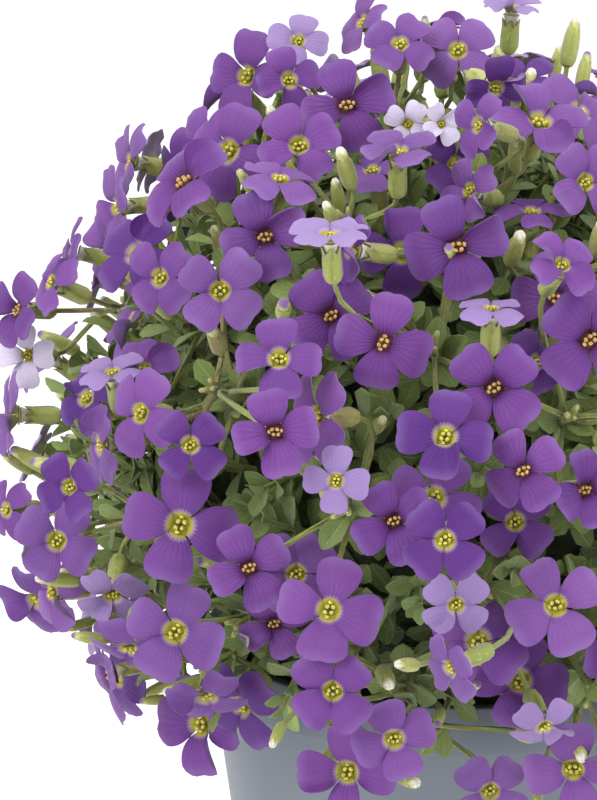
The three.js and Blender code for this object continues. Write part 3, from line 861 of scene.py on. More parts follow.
class ShaderTree:
    """The node tree of one material, built up from expressions."""

    def __init__(self, name: str) -> None:
        """Starts a material with an empty tree."""
        self.material = bpy.data.materials.new(name)
        self.material.use_nodes = True
        self.tree = self.material.node_tree
        self.tree.nodes.clear()

    def node(self, kind: str, settings: dict | None = None, sockets: dict | None = None) -> Node:
        """Adds a node.

        Args:
            kind: the node's type.
            settings: its properties, which are set first.
            sockets: its inputs by name or number, each a value, a socket or a Channel.

        Returns:
            The new node.
        """
        node = self.tree.nodes.new(kind)
        for name, value in (settings or {}).items():
            setattr(node, name, value)
        for name, value in (sockets or {}).items():
            if isinstance(value, Channel):
                value = value.socket
            if isinstance(value, NodeSocket):
                self.tree.links.new(value, node.inputs[name])
            else:
                node.inputs[name].default_value = value
        return node

    def maths(self, operation: str, *values: Channel | float) -> Channel:
        """One Math node on one, two or three values."""
        node = self.node("ShaderNodeMath", {"operation": operation}, dict(enumerate(values)))
        return Channel(self, node.outputs[0])

    def mix(self, share: Channel | float, low: object, high: object) -> NodeSocket:
        """A mix of two colours, from low at a share of 0 to high at 1."""
        settings = {"data_type": "RGBA", "clamp_factor": True}
        return self.node("ShaderNodeMix", settings, {0: share, 6: low, 7: high}).outputs[2]

    def object_place(self) -> NodeSocket:
        """The place in the object's own coordinates."""
        return self.node("ShaderNodeTexCoord").outputs["Object"]

    def surface_place(self) -> tuple[NodeSocket, Channel, Channel]:
        """The place on the piece's own UV map, whole and as its two numbers.

        Returns:
            The whole place, its X and its Y.
        """
        place = self.node("ShaderNodeUVMap", {"uv_map": "UVMap"}).outputs["UV"]
        parts = self.node("ShaderNodeSeparateXYZ", sockets={"Vector": place})
        return place, Channel(self, parts.outputs["X"]), Channel(self, parts.outputs["Y"])

    def traits(self) -> tuple[Channel, Channel, Channel, Channel]:
        """The copy's own tone, paleness, depth and eye, from the piece's "traits" attribute.

        Returns:
            The four channels.
        """
        node = self.node("ShaderNodeAttribute", {"attribute_name": "traits"})
        parts = self.node("ShaderNodeSeparateColor", sockets={"Color": node.outputs["Color"]})
        tone, pale, depth = (Channel(self, parts.outputs[name]) for name in ("Red", "Green", "Blue"))
        return tone, pale, depth, Channel(self, node.outputs["Alpha"])

    def noise(self, place: NodeSocket, scale: float, detail: float = 3.0, rough: float = 0.55) -> Channel:
        """Soft noise from 0 to 1 at a place."""
        sockets = {"Vector": place, "Scale": scale, "Detail": detail, "Roughness": rough}
        return Channel(self, self.node("ShaderNodeTexNoise", sockets=sockets).outputs["Fac"])

    def stretched(self, place: NodeSocket, scale: tuple[float, float, float]) -> NodeSocket:
        """A place scaled on each axis."""
        settings = {"operation": "MULTIPLY"}
        return self.node("ShaderNodeVectorMath", settings, {0: place, 1: scale}).outputs[0]

    def bump(self, height: Channel, distance: float, strength: float = 1.0) -> NodeSocket:
        """A normal that a height in shares of a distance in metres gives."""
        sockets = {"Height": height, "Distance": distance, "Strength": strength}
        return self.node("ShaderNodeBump", sockets=sockets).outputs["Normal"]

    def surface(self, **sockets: object) -> Material:
        """Ends the tree in a Principled BSDF.

        Args:
            sockets: its inputs, with an underscore for each space in a name.

        Returns:
            The finished material.
        """
        named = {name.replace("_", " "): value for name, value in sockets.items()}
        shader = self.node("ShaderNodeBsdfPrincipled", sockets=named)
        self.node("ShaderNodeOutputMaterial", sockets={"Surface": shader.outputs["BSDF"]})
        return self.material


@dataclass(frozen=True)
class PetalFinish:
    """A petal's face: satin violet with fine darker veins, and its eye at the foot."""

    lit: Colour = colour(114, 65, 139)
    deep: Colour = colour(70, 27, 106)
    lilac: Colour = colour(148, 128, 176)
    white: Colour = colour(200, 191, 214)
    ring: Colour = colour(184, 166, 166)
    yellow: Colour = colour(164, 158, 60)
    magenta: Colour = colour(70, 18, 58)
    roughness: float = 0.55

    def make(self) -> Material:
        """Makes the material. The map holds the petal's own place: X out from the eye's middle, Y across.

        Returns:
            The finished material.
        """
        tree = ShaderTree("petal_face")
        place, out, across = tree.surface_place()
        tone, pale, depth, eye = tree.traits()
        where = tree.object_place()
        cloudy = tree.noise(where, 90.0, 2.0)
        side = across - 0.5
        spread = (out * out + side * side) ** 0.5
        fan = side / out + (tree.noise(where, 240.0, 2.0) - 0.5) * 0.12
        streaks = (fan * 24.0).wave() * 0.5 + 0.5
        veins = self._veins(out, fan)
        base = tree.mix(depth * 0.6 + tone * 0.32 + cloudy.step(0.35, 0.75) * 0.26, self.lit, self.deep)
        # paler towards the petal's edge: partly its own paler rim and partly a painted highlight where the
        # edges catch the light
        base = tree.mix(out.step(0.7, 1.05) * 0.22, base, self.lilac)
        base = tree.mix(pale.step(0.0, 0.75) * 0.85, base, self.lilac)
        base = tree.mix(pale.step(0.8, 1.0), base, self.white)
        base = tree.mix(out.step(0.6, 0.2) * (1 - pale) * (0.18 + eye * 0.3), base, self.deep)
        base = tree.mix(veins * (0.3 + eye * 0.45), base, tree.mix(0.62, base, self.magenta))
        ring = (spread + streaks * 0.02 - tone * 0.05).step(0.29, 0.19) * (1 - eye)
        base = tree.mix(ring * 0.55, base, self.ring)
        base = tree.mix(spread.step(0.235, 0.205) * (1 - eye), base, self.yellow)
        dark = (spread + streaks * 0.13).step(0.4, 0.22) * eye
        base = tree.mix(dark * 0.8, base, self.magenta)
        relief = veins * -0.6 + tree.noise(where, 900.0, 2.0) * 0.35 + cloudy * 0.5
        rough = self.roughness + streaks * 0.08 - veins * 0.05
        return tree.surface(Base_Color=base, Roughness=rough, Normal=tree.bump(relief, 0.00025, 0.6),
                            Sheen_Weight=0.06, Sheen_Roughness=0.4, Specular_IOR_Level=0.25)

    @staticmethod
    def _veins(out: Channel, fan: Channel) -> Channel:
        """Fine veins that fan out from the foot, fork towards the edge and fade there.

        Args:
            out: the distance from the eye's middle.
            fan: the slope of the line from it.

        Returns:
            Their strength, 0 to 1.
        """
        main = 1 - abs((fan * 15.0).wave()) ** 0.42
        forks = 1 - abs((fan * 31.0 + out * 2.0).wave()) ** 0.5
        return main * out.step(1.05, 0.25) + forks * out.step(0.4, 0.7) * out.step(1.0, 0.7) * 0.4


@dataclass(frozen=True)
class PetalBackFinish:
    """A petal's back: greyer and paler, partly its own paler colour and partly painted light that stands in
    for light shining through the thin petal, with its veins, and greenish at the foot.
    """

    violet: Colour = colour(138, 96, 168)
    shade: Colour = colour(112, 68, 148)
    lilac: Colour = colour(182, 168, 200)
    claw: Colour = colour(160, 158, 104)

    def make(self) -> Material:
        """Makes the material.

        Returns:
            The finished material.
        """
        tree = ShaderTree("petal_back")
        _, out, across = tree.surface_place()
        tone, pale, depth, _ = tree.traits()
        where = tree.object_place()
        cloudy = tree.noise(where, 110.0, 3.0)
        fan = (across - 0.5) / out
        veins = 1 - abs(((fan + (cloudy - 0.5) * 0.1) * 17.0).wave()) ** 0.5
        # partly painted light: the back's colours are raised above its own paler tone to stand in for light
        # shining through the thin petal
        base = tree.mix(depth * 0.5 + tone * 0.3 + cloudy * 0.3, self.violet, self.shade)
        base = tree.mix(pale * 0.85, base, self.lilac)
        base = tree.mix(veins * 0.25, base, self.shade)
        base = tree.mix(out.step(0.34, 0.2) * 0.8, base, self.claw)
        return tree.surface(Base_Color=base, Roughness=0.6 + cloudy * 0.1,
                            Normal=tree.bump(veins * 0.5 + cloudy * 0.4, 0.0002, 0.5),
                            Sheen_Weight=0.12, Specular_IOR_Level=0.25)


@dataclass(frozen=True)
class ThroatFinish:
    """The cup between the petals' feet: greenish yellow with a bright rim, or dark in a dark eye."""

    rim: Colour = colour(186, 178, 84)
    yellow: Colour = colour(154, 148, 46)
    green: Colour = colour(84, 92, 28)
    dark: Colour = colour(64, 22, 34)
    umber: Colour = colour(92, 60, 30)

    def make(self) -> Material:
        """Makes the material. On the cup's own map, the middle is at a half and a half.

        Returns:
            The finished material.
        """
        tree = ShaderTree("throat")
        _, x, y = tree.surface_place()
        eye = tree.traits()[3]
        spread = ((x - 0.5) ** 2.0 + (y - 0.5) ** 2.0) ** 0.5
        base = tree.mix(spread.step(0.16, 0.34), self.green, self.yellow)
        base = tree.mix(spread.step(0.38, 0.47), base, self.rim)
        base = tree.mix(eye, base, tree.mix(spread.step(0.15, 0.4), self.umber, self.dark))
        return tree.surface(Base_Color=base, Roughness=0.6, Specular_IOR_Level=0.3)


@dataclass(frozen=True)
class AntherFinish:
    """The anthers: grainy lemon yellow, or peach in a dark eye."""

    lemon: Colour = colour(212, 202, 92)
    peach: Colour = colour(206, 164, 104)
    ochre: Colour = colour(146, 120, 46)

    def make(self) -> Material:
        """Makes the material.

        Returns:
            The finished material.
        """
        tree = ShaderTree("anthers")
        grain = tree.noise(tree.object_place(), 2200.0, 2.0)
        eye = tree.traits()[3]
        base = tree.mix(grain.step(0.3, 0.6), self.ochre, tree.mix(eye, self.lemon, self.peach))
        return tree.surface(Base_Color=base, Roughness=0.8, Normal=tree.bump(grain, 0.0002, 0.8))


@dataclass(frozen=True)
class GreenFinish:
    """Calyx, pedicels and stalks: downy olive green, flushed purple here and there."""

    light: Colour = colour(176, 176, 98)
    olive: Colour = colour(118, 132, 58)
    stem: Colour = colour(124, 132, 64)
    flush: Colour = colour(128, 98, 74)
    hair: Colour = colour(202, 208, 160)

    def make(self) -> Material:
        """Makes the material. On the calyx's own map, X runs round it and Y from its foot to its tips.

        Returns:
            The finished material.
        """
        tree = ShaderTree("green_calyx_and_stalk")
        place, round_it, along = tree.surface_place()
        tone, _, depth, stalk = tree.traits()
        where = tree.object_place()
        patch = tree.noise(where, 70.0, 3.0)
        down = tree.noise(tree.stretched(where, (1.0, 1.0, 0.6)), 1900.0, 2.0, 0.7)
        ribs = abs((round_it * (4 * math.pi)).wave())
        base = tree.mix(tone * 0.7 + patch * 0.4, self.light, self.olive)
        base = tree.mix(stalk * (0.55 + patch * 0.3), base, self.stem)
        base = tree.mix((1 - ribs) * 0.4, base, self.olive)
        base = tree.mix(along.step(0.82, 1.0) * (1 - stalk) * 0.5, base, self.light)
        base = tree.mix(patch.step(0.46, 0.66) * depth.step(0.45, 1.0) * 0.8, base, self.flush)
        base = tree.mix(down.step(0.56, 0.75) * 0.42, base, self.hair)
        relief = ribs * 0.8 + down * 0.9
        rough = 0.68 - down * 0.1
        return tree.surface(Base_Color=base, Roughness=rough, Normal=tree.bump(relief, 0.00022, 0.7),
                            Sheen_Weight=0.3, Sheen_Roughness=0.5, Specular_IOR_Level=0.3)


@dataclass(frozen=True)
class BudTipFinish:
    """The folded petals at a bud's tip: white to greenish, or violet in the others."""

    white: Colour = colour(216, 212, 196)
    violet: Colour = colour(122, 84, 150)
    green: Colour = colour(186, 190, 112)

    def make(self) -> Material:
        """Makes the material.

        Returns:
            The finished material.
        """
        tree = ShaderTree("bud_tip")
        _, round_it, along = tree.surface_place()
        _, pale, depth, _ = tree.traits()
        folds = abs((round_it * (4 * math.pi) + along * 3.0).wave())
        base = tree.mix(pale.step(0.3, 0.7), self.violet, self.white)
        base = tree.mix(depth.step(0.86, 0.96), base, self.green)
        base = tree.mix(along.step(0.9, 0.62), base, self.green)
        base = tree.mix((1 - folds) * 0.3, base, self.violet)
        return tree.surface(Base_Color=base, Roughness=0.55, Normal=tree.bump(folds, 0.0003, 0.6),
                            Sheen_Weight=0.1)


@dataclass(frozen=True)
class LeafFinish:
    """The leaves: grey green with a pale midrib, side veins and short pale hairs."""

    fresh: Colour = colour(136, 154, 70)
    grey: Colour = colour(98, 122, 60)
    shade: Colour = colour(46, 60, 26)
    rib: Colour = colour(158, 170, 108)
    hair: Colour = colour(176, 186, 142)
    stale: Colour = colour(136, 112, 62)

    def make(self) -> Material:
        """Makes the material. On the leaf's own map, X runs from foot to tip and Y across.

        Returns:
            The finished material.
        """
        tree = ShaderTree("hairy_leaf")
        _, along, across = tree.surface_place()
        tone, pale, depth, _ = tree.traits()
        where = tree.object_place()
        patch = tree.noise(where, 120.0, 3.0)
        hairs = tree.noise(where, 1500.0, 2.0, 0.7)
        middle = abs(across - 0.5)
        rib = middle.step(0.05, 0.012)
        side = (1 - abs(((along * 1.6 - middle * 1.7) * 18.0).wave()) ** 0.5) * middle.step(0.02, 0.1)
        base = tree.mix(tone * 0.6 + patch * 0.5, self.fresh, self.grey)
        # painted shade: the depth trait darkens the leaves, most of all those low on their shoot, deep in the
        # cushion
        base = tree.mix(depth * 0.85, base, self.shade)
        base = tree.mix(pale * 0.4, base, self.hair)
        base = tree.mix(rib * 0.55 + side * 0.18, base, self.rib)
        base = tree.mix(along.step(0.9, 1.0) * patch.step(0.5, 0.6) * 0.6, base, self.stale)
        base = tree.mix(hairs.step(0.58, 0.74) * 0.36, base, self.hair)
        relief = hairs * 0.7 - rib * 0.8 - side * 0.5 + patch * 0.5
        rough = 0.66 - hairs * 0.1
        return tree.surface(Base_Color=base, Roughness=rough, Normal=tree.bump(relief, 0.0003, 0.7),
                            Sheen_Weight=0.25, Sheen_Roughness=0.5, Specular_IOR_Level=0.3)


@dataclass(frozen=True)
class CoreFinish:
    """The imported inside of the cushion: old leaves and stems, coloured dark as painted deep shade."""

    dark: Colour = colour(38, 42, 24)
    moss: Colour = colour(72, 84, 42)
    dry: Colour = colour(88, 70, 46)

    def make(self) -> Material:
        """Makes the material.

        Returns:
            The finished material.
        """
        tree = ShaderTree("packed_shoots_in_painted_shade")
        where = tree.object_place()
        lumps = tree.noise(where, 160.0, 4.0, 0.65)
        specks = tree.noise(where, 520.0, 3.0, 0.7)
        # painted shade: the dark green stands in for the deep shade between the shoots; the moss patches and
        # dry specks are their own colour
        base = tree.mix(lumps.step(0.42, 0.7), self.dark, self.moss)
        base = tree.mix(specks.step(0.6, 0.72) * 0.6, base, self.dry)
        normal = tree.bump(lumps + specks * 0.5, 0.0025, 0.9)
        return tree.surface(Base_Color=base, Roughness=0.9, Normal=normal)


@dataclass(frozen=True)
class PotFinish:
    """Grey-blue nursery pot plastic: satin, faintly grained, dusty low down and scuffed at the rim."""

    plastic: Colour = colour(102, 110, 120)
    light: Colour = colour(116, 123, 132)
    dust: Colour = colour(150, 146, 138)

    def make(self) -> Material:
        """Makes the material.

        Returns:
            The finished material.
        """
        tree = ShaderTree("pot_plastic")
        where = tree.object_place()
        height = Channel(tree, tree.node("ShaderNodeSeparateXYZ", sockets={"Vector": where}).outputs["Z"])
        cloudy = tree.noise(where, 26.0, 4.0)
        grain = tree.noise(where, 2400.0, 2.0)
        drawn = tree.noise(tree.stretched(where, (220.0, 220.0, 9.0)), 1.0, 3.0)
        scuffs = tree.noise(tree.stretched(where, (60.0, 60.0, 420.0)), 1.0, 4.0, 0.7)
        base = tree.mix(cloudy.step(0.35, 0.7) * 0.4, self.plastic, self.light)
        dusty = height.step(0.03, 0.0) * cloudy.step(0.4, 0.65)
        base = tree.mix(dusty * 0.35, base, self.dust)
        worn = height.step(0.0895, 0.0915) * scuffs.step(0.5, 0.68)
        base = tree.mix(worn * 0.45, base, self.light)
        rough = 0.42 + cloudy * 0.1 + scuffs.step(0.6, 0.8) * 0.08 + dusty * 0.15
        relief = grain * 0.25 + drawn * 0.6
        return tree.surface(Base_Color=base, Roughness=rough, Normal=tree.bump(relief, 0.00012, 0.5),
                            Specular_IOR_Level=0.45)


@dataclass(frozen=True)
class CompostFinish:
    """Moist peat compost: dark brown crumbs, with pale grit where the copy is pale."""

    dark: Colour = colour(40, 29, 21)
    brown: Colour = colour(78, 56, 40)
    grit: Colour = colour(196, 190, 178)

    def make(self) -> Material:
        """Makes the material.

        Returns:
            The finished material.
        """
        tree = ShaderTree("peat_compost")
        where = tree.object_place()
        pale = tree.traits()[1]
        crumbs = tree.noise(where, 420.0, 4.0, 0.65)
        fibres = tree.noise(tree.stretched(where, (1.0, 3.5, 1.0)), 700.0, 3.0, 0.7)
        base = tree.mix(crumbs.step(0.35, 0.65), self.dark, self.brown)
        base = tree.mix(fibres.step(0.62, 0.72) * 0.4, base, self.brown)
        base = tree.mix(pale, base, self.grit)
        normal = tree.bump(crumbs + fibres * 0.5, 0.0012, 0.9)
        return tree.surface(Base_Color=base, Roughness=0.92, Normal=normal)


class Slot(IntEnum):
    """The material slot of each finish on every piece of the plant."""

    FACE = 0
    BACK = 1
    THROAT = 2
    ANTHER = 3
    GREEN = 4
    TIP = 5
    LEAF = 6
    CORE = 7


@dataclass(frozen=True)
class Traits:
    """How one copy of a template differs from the others: tone, paleness, depth and eye, each from 0 to 1."""

    tone: float = 0.5
    pale: float = 0.0
    depth: float = 0.0
    eye: float = 0.0

    def row(self) -> tuple[float, float, float, float]:
        """The four numbers as the attribute holds them."""
        return (self.tone, self.pale, self.depth, self.eye)


class Template:
    """A small mesh that is made once with bmesh operators and copied into many places."""

    SHARP = 1.0

    def __init__(self, name: str) -> None:
        """Starts an empty mesh with a UV map."""
        self.name = name
        self.bm = bmesh.new()
        self.uv = self.bm.loops.layers.uv.new("UVMap")

    def grid(self, along: int, across: int, place: PlaceRule) -> None:
        """Adds a sheet whose points go where a rule says. Its map keeps the flat sheet's own places.

        Args:
            along: faces along it, from foot to tip.
            across: faces across it.
            place: the rule from a share along, 0 to 1, and a place across, -1 to 1, to a point.
        """
        made = bmesh.ops.create_grid(self.bm, x_segments=along, y_segments=across, size=1.0, calc_uvs=True)
        for vert in made["verts"]:
            vert.co = place((vert.co.x + 1) / 2, vert.co.y)

    def thicken(self, thickness: float, front: Slot, back: Slot) -> None:
        """Gives the sheet a thickness under it, and a front and a back finish.

        Args:
            thickness: the thickness.
            front: the finish of the upper side.
            back: the finish of the rest.
        """
        bmesh.ops.recalc_face_normals(self.bm, faces=self.bm.faces)
        if sum(face.normal.z for face in self.bm.faces) < 0:
            bmesh.ops.reverse_faces(self.bm, faces=self.bm.faces)
        bmesh.ops.solidify(self.bm, geom=list(self.bm.faces), thickness=thickness)
        self.bm.normal_update()
        for face in self.bm.faces:
            face.material_index = front if face.normal.z > 0.05 else back

    def tower(self, sides: int, stations: list[tuple[float, float]], slot: Slot) -> list[list[BMVert]]:
        """Adds a closed tube up Z, with its map round it and along it.

        Args:
            sides: sides of each ring.
            stations: the (height, radius) of each ring.
            slot: the finish.

        Returns:
            The points of each ring.
        """
        height, radius = stations[0]
        ring = bmesh.ops.create_circle(self.bm, segments=sides, radius=radius, cap_ends=True)["verts"]
        bmesh.ops.translate(self.bm, verts=ring, vec=(0, 0, height))
        face = ring[0].link_faces[0]
        rings = [list(ring)]
        for next_height, next_radius in stations[1:]:
            grown = bmesh.ops.extrude_face_region(self.bm, geom=[face])["geom"]
            ring = [part for part in grown if isinstance(part, BMVert)]
            face = next(part for part in grown if isinstance(part, BMFace))
            bmesh.ops.scale(self.bm, verts=ring, vec=(next_radius / radius, next_radius / radius, 1))
            bmesh.ops.translate(self.bm, verts=ring, vec=(0, 0, next_height - height))
            rings.append(ring)
            height, radius = next_height, next_radius
        walls = {face for ring in rings for vert in ring for face in vert.link_faces}
        bmesh.ops.recalc_face_normals(self.bm, faces=list(walls))
        self._wrap(walls, stations[0][0], stations[-1][0])
        self.paint(walls, slot)
        return rings

    @staticmethod
    def paint(faces: Iterable[BMFace], slot: Slot) -> None:
        """Gives faces a finish."""
        for face in faces:
            face.material_index = slot

    def _wrap(self, faces: Iterable[BMFace], low: float, high: float) -> None:
        """Maps faces round Z and from one height to another, with no face running back over the seam.

        Args:
            faces: the faces.
            low: the height that is 0 on the map.
            high: the height that is 1.
        """
        for face in faces:
            middle = face.calc_center_median()
            home = math.atan2(middle.y, middle.x)
            for loop in face.loops:
                place = loop.vert.co
                turn = (math.atan2(place.y, place.x) - home + math.pi) % math.tau - math.pi
                loop[self.uv].uv = ((home + turn) / math.tau, (place.z - low) / (high - low))

    def lathe(self, profile: list[tuple[float, float]], steps: int, slot: Slot) -> None:
        """Spins a profile of (radius, height) points round Z into a closed shell.

        Args:
            profile: the points, from axis to axis.
            steps: sides of the shell.
            slot: the finish.
        """
        verts = [self.bm.verts.new((radius, 0, height)) for radius, height in profile]
        edges = [self.bm.edges.new(pair) for pair in zip(verts, verts[1:])]
        bmesh.ops.spin(self.bm, geom=verts + edges, cent=(0, 0, 0), axis=(0, 0, 1), angle=math.tau,
                       steps=steps, use_merge=True)
        bmesh.ops.remove_doubles(self.bm, verts=self.bm.verts, dist=1e-4)
        bmesh.ops.recalc_face_normals(self.bm, faces=self.bm.faces)
        heights = [height for _, height in profile]
        self._wrap(self.bm.faces, min(heights), max(heights))
        self.paint(self.bm.faces, slot)

    def mesh(self) -> Mesh:
        """Ends the template: smooth faces, sharp where two meet at a steep angle.

        Returns:
            The mesh.
        """
        self.bm.normal_update()
        for face in self.bm.faces:
            face.smooth = True
        for edge in self.bm.edges:
            edge.smooth = len(edge.link_faces) != 2 or edge.calc_face_angle(0.0) < self.SHARP
        mesh = bpy.data.meshes.new(self.name)
        self.bm.to_mesh(mesh)
        self.bm.free()
        return mesh


def stand(point: ndarray, first: ndarray, facing: ndarray, size: float) -> Matrix:
    """The matrix that stands a template at a point in millimetres, its X along first and its Z facing out.

    Args:
        point: the point.
        first: the way of its X, as near as can be.
        facing: the way of its Z.
        size: its scale in millimetres.

    Returns:
        The matrix, in metres.
    """
    z = unit(facing)
    x = cross_axes(z, first)[0]
    y = np.cross(z, x)
    matrix = Matrix.Identity(4)
    for row in range(3):
        matrix[row] = (x[row] * size * MM, y[row] * size * MM, z[row] * size * MM, point[row] * MM)
    return matrix


def new_object(name: str, data: bpy.types.ID) -> Object:
    """A new object in the scene, at the origin."""
    made = bpy.data.objects.new(name, data)
    bpy.context.scene.collection.objects.link(made)
    return made


@dataclass(frozen=True)
class Route:
    """A smooth curve between two points, the way it runs at each, and the tube's radius there."""

    start: ndarray
    start_way: ndarray
    end: ndarray
    end_way: ndarray
    start_radius: float
    end_radius: float
    handle: float = 0.42

    def bend(self, mesh: Mesh) -> None:
        """Bends a straight tube of length and radius one along the curve.

        Args:
            mesh: the tube, changed in place.
        """
        reach = np.linalg.norm(self.end - self.start) * self.handle
        handles = (self.start, self.start + self.start_way * reach, self.end - self.end_way * reach, self.end)
        places = np.empty(len(mesh.vertices) * 3)
        mesh.vertices.foreach_get("co", places)
        places = places.reshape(-1, 3)
        side = away_from(unit(self.end - self.start))
        bent = []
        for x, y, share in places:
            rest = 1 - share
            weights = (rest**3, 3 * rest**2 * share, 3 * rest * share**2, share**3)
            slopes = (-(rest**2), rest**2 - 2 * rest * share, 2 * rest * share - share**2, share**2)
            middle = sum(weight * handle for weight, handle in zip(weights, handles))
            along = unit(sum(slope * handle for slope, handle in zip(slopes, handles)))
            first, second = cross_axes(along, side)
            radius = self.start_radius * rest + self.end_radius * share
            bent.append((middle + (first * x + second * y) * radius) * MM)
        mesh.vertices.foreach_set("co", np.array(bent).ravel())


class Bunch:
    """One piece of the plant, put together from many copies of templates, each with its own traits."""

    def __init__(self, name: str, finishes: list[Material]) -> None:
        """Starts an empty piece.

        Args:
            name: the piece's name.
            finishes: the material of each Slot, in order.
        """
        self.name = name
        self.finishes = finishes
        self.bm = bmesh.new()
        self.bm.loops.layers.uv.new("UVMap")
        self.rows: list[tuple[float, float, float, float]] = []
        self.counts: list[int] = []

    def add(self, template: Mesh, matrix: Matrix, traits: Traits) -> None:
        """Adds a copy of a template."""
        copy = template.copy()
        copy.transform(matrix)
        self._take(copy, traits)

    def add_tube(self, template: Mesh, route: Route, traits: Traits) -> None:
        """Adds a tube that is bent along a route."""
        copy = template.copy()
        route.bend(copy)
        self._take(copy, traits)

    def _take(self, mesh: Mesh, traits: Traits) -> None:
        """Takes a mesh into the piece and removes it."""
        self.bm.from_mesh(mesh)
        self.rows.append(traits.row())
        self.counts.append(len(mesh.vertices))
        bpy.data.meshes.remove(mesh)

    def finish(self, record_slot: str, *nodes: str) -> Object:
        """Makes the object, which rides on the plant's one body.

        Args:
            record_slot: not used.
            nodes: the solids that the piece stands for.

        Returns:
            The new object.
        """
        mesh = bpy.data.meshes.new(self.name)
        for material in self.finishes:
            mesh.materials.append(material)
        self.bm.to_mesh(mesh)
        self.bm.free()
        traits = mesh.attributes.new("traits", "FLOAT_COLOR", "POINT")
        rows = np.repeat(np.array(self.rows, np.float32), self.counts, axis=0)
        traits.data.foreach_set("color", rows.ravel())
        piece = new_object(self.name, mesh)
        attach(piece, "root")
        if nodes:
            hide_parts(*nodes)
        return piece


@dataclass(frozen=True)
class PetalShape:
    """A broad rounded petal in shares of the bloom's radius, along X from its foot under the eye."""

    droop: float
    wave: float
    phase: float
    half_width: float
    curl: float = 0.0
    foot: float = 0.1
    egg: float = 0.32
    thickness: float = 0.024
    blunt: float = 0.3
    nick: float = 0.035
    hinge: float = 0.13
    cup: float = 0.07
    crease: float = 0.03
    trough: float = 0.05
    roll_height: float = 0.6
    roll_narrowing: float = 0.55

    def place(self, along: float, across: float) -> tuple[float, float, float]:
        """The petal's point at a share along it and a place across it, from -1 to 1.

        Args:
            along: the share, 0 to 1.
            across: the place.

        Returns:
            The point.
        """
        run = 2 * along - 1
        x = run * math.sqrt(1 - across * across / 2)
        y = across * math.sqrt(1 - run * run / 2)
        swell = 1 + self.blunt * x * x * y * y if x > 0 else 1.0
        x, y = x * swell, y * swell
        nick = self.nick * math.exp(-((y / 0.2) ** 2)) * max(0.0, x) ** 6
        out = self.foot + (1 - self.foot) * (x + 1) / 2 - nick
        side = self.half_width * y * (1 + self.egg * x)
        rolled = self.curl * max(0.0, y * 1.2 - 0.2) ** 2
        dip = -self.hinge * math.exp(-(((out - self.foot) / 0.1) ** 2))
        arch = self.cup * math.sin(math.pi * min(1.0, out * 1.1)) - self.droop * out**3
        ripple = self.wave * math.sin(2.6 * y + self.phase) * out**2
        ruffle = 0.4 * self.wave * math.sin(7.0 * y + 5.0 * out + 2 * self.phase) * out**3
        crease = -self.crease * math.exp(-((y / 0.14) ** 2)) * out
        height = dip + arch + ripple + ruffle + crease - self.trough * y * y * out + self.roll_height * rolled
        return (out, side * (1 - self.roll_narrowing * rolled), height)

    def make(self, name: str) -> Mesh:
        """Makes the petal. Its map holds its own X and Y.

        Args:
            name: the mesh's name.

        Returns:
            The mesh.
        """
        template = Template(name)
        template.grid(7, 6, self.place)
        for face in template.bm.faces:
            for loop in face.loops:
                loop[template.uv].uv = (loop.vert.co.x, loop.vert.co.y + 0.5)
        template.thicken(self.thickness, Slot.FACE, Slot.BACK)
        return template.mesh()


@dataclass(frozen=True)
class LeafShape:
    """A leaf of length one along X: a blunt wedge, faintly toothed, folded along its midrib and arched."""

    half_width: float = 0.25
    fold: float = 0.1
    arch: float = 0.16
    thickness: float = 0.026
    foot: float = 0.022
    tooth: float = 0.08
    teeth: int = 6

    def place(self, along: float, across: float) -> tuple[float, float, float]:
        """The leaf's point at a share along it and a place across it.

        Args:
            along: the share, 0 to 1.
            across: the place, -1 to 1.

        Returns:
            The point.
        """
        along = math.sin(along * math.pi / 2)
        blade = math.sin(math.pi * along**1.55) ** 0.7 if 0 < along < 1 else 0.0
        tooth = self.tooth * math.cos(math.pi * self.teeth * along) if along > 0.4 else 0.0
        half = self.foot + self.half_width * blade * (1 + tooth * abs(across))
        return (along, across * half, self.fold * abs(across) * blade - self.arch * along**2)

    def make(self, name: str) -> Mesh:
        """Makes the leaf.

        Args:
            name: the mesh's name.

        Returns:
            The mesh.
        """
        template = Template(name)
        template.grid(4, 2, self.place)
        template.thicken(self.thickness, Slot.LEAF, Slot.LEAF)
        return template.mesh()


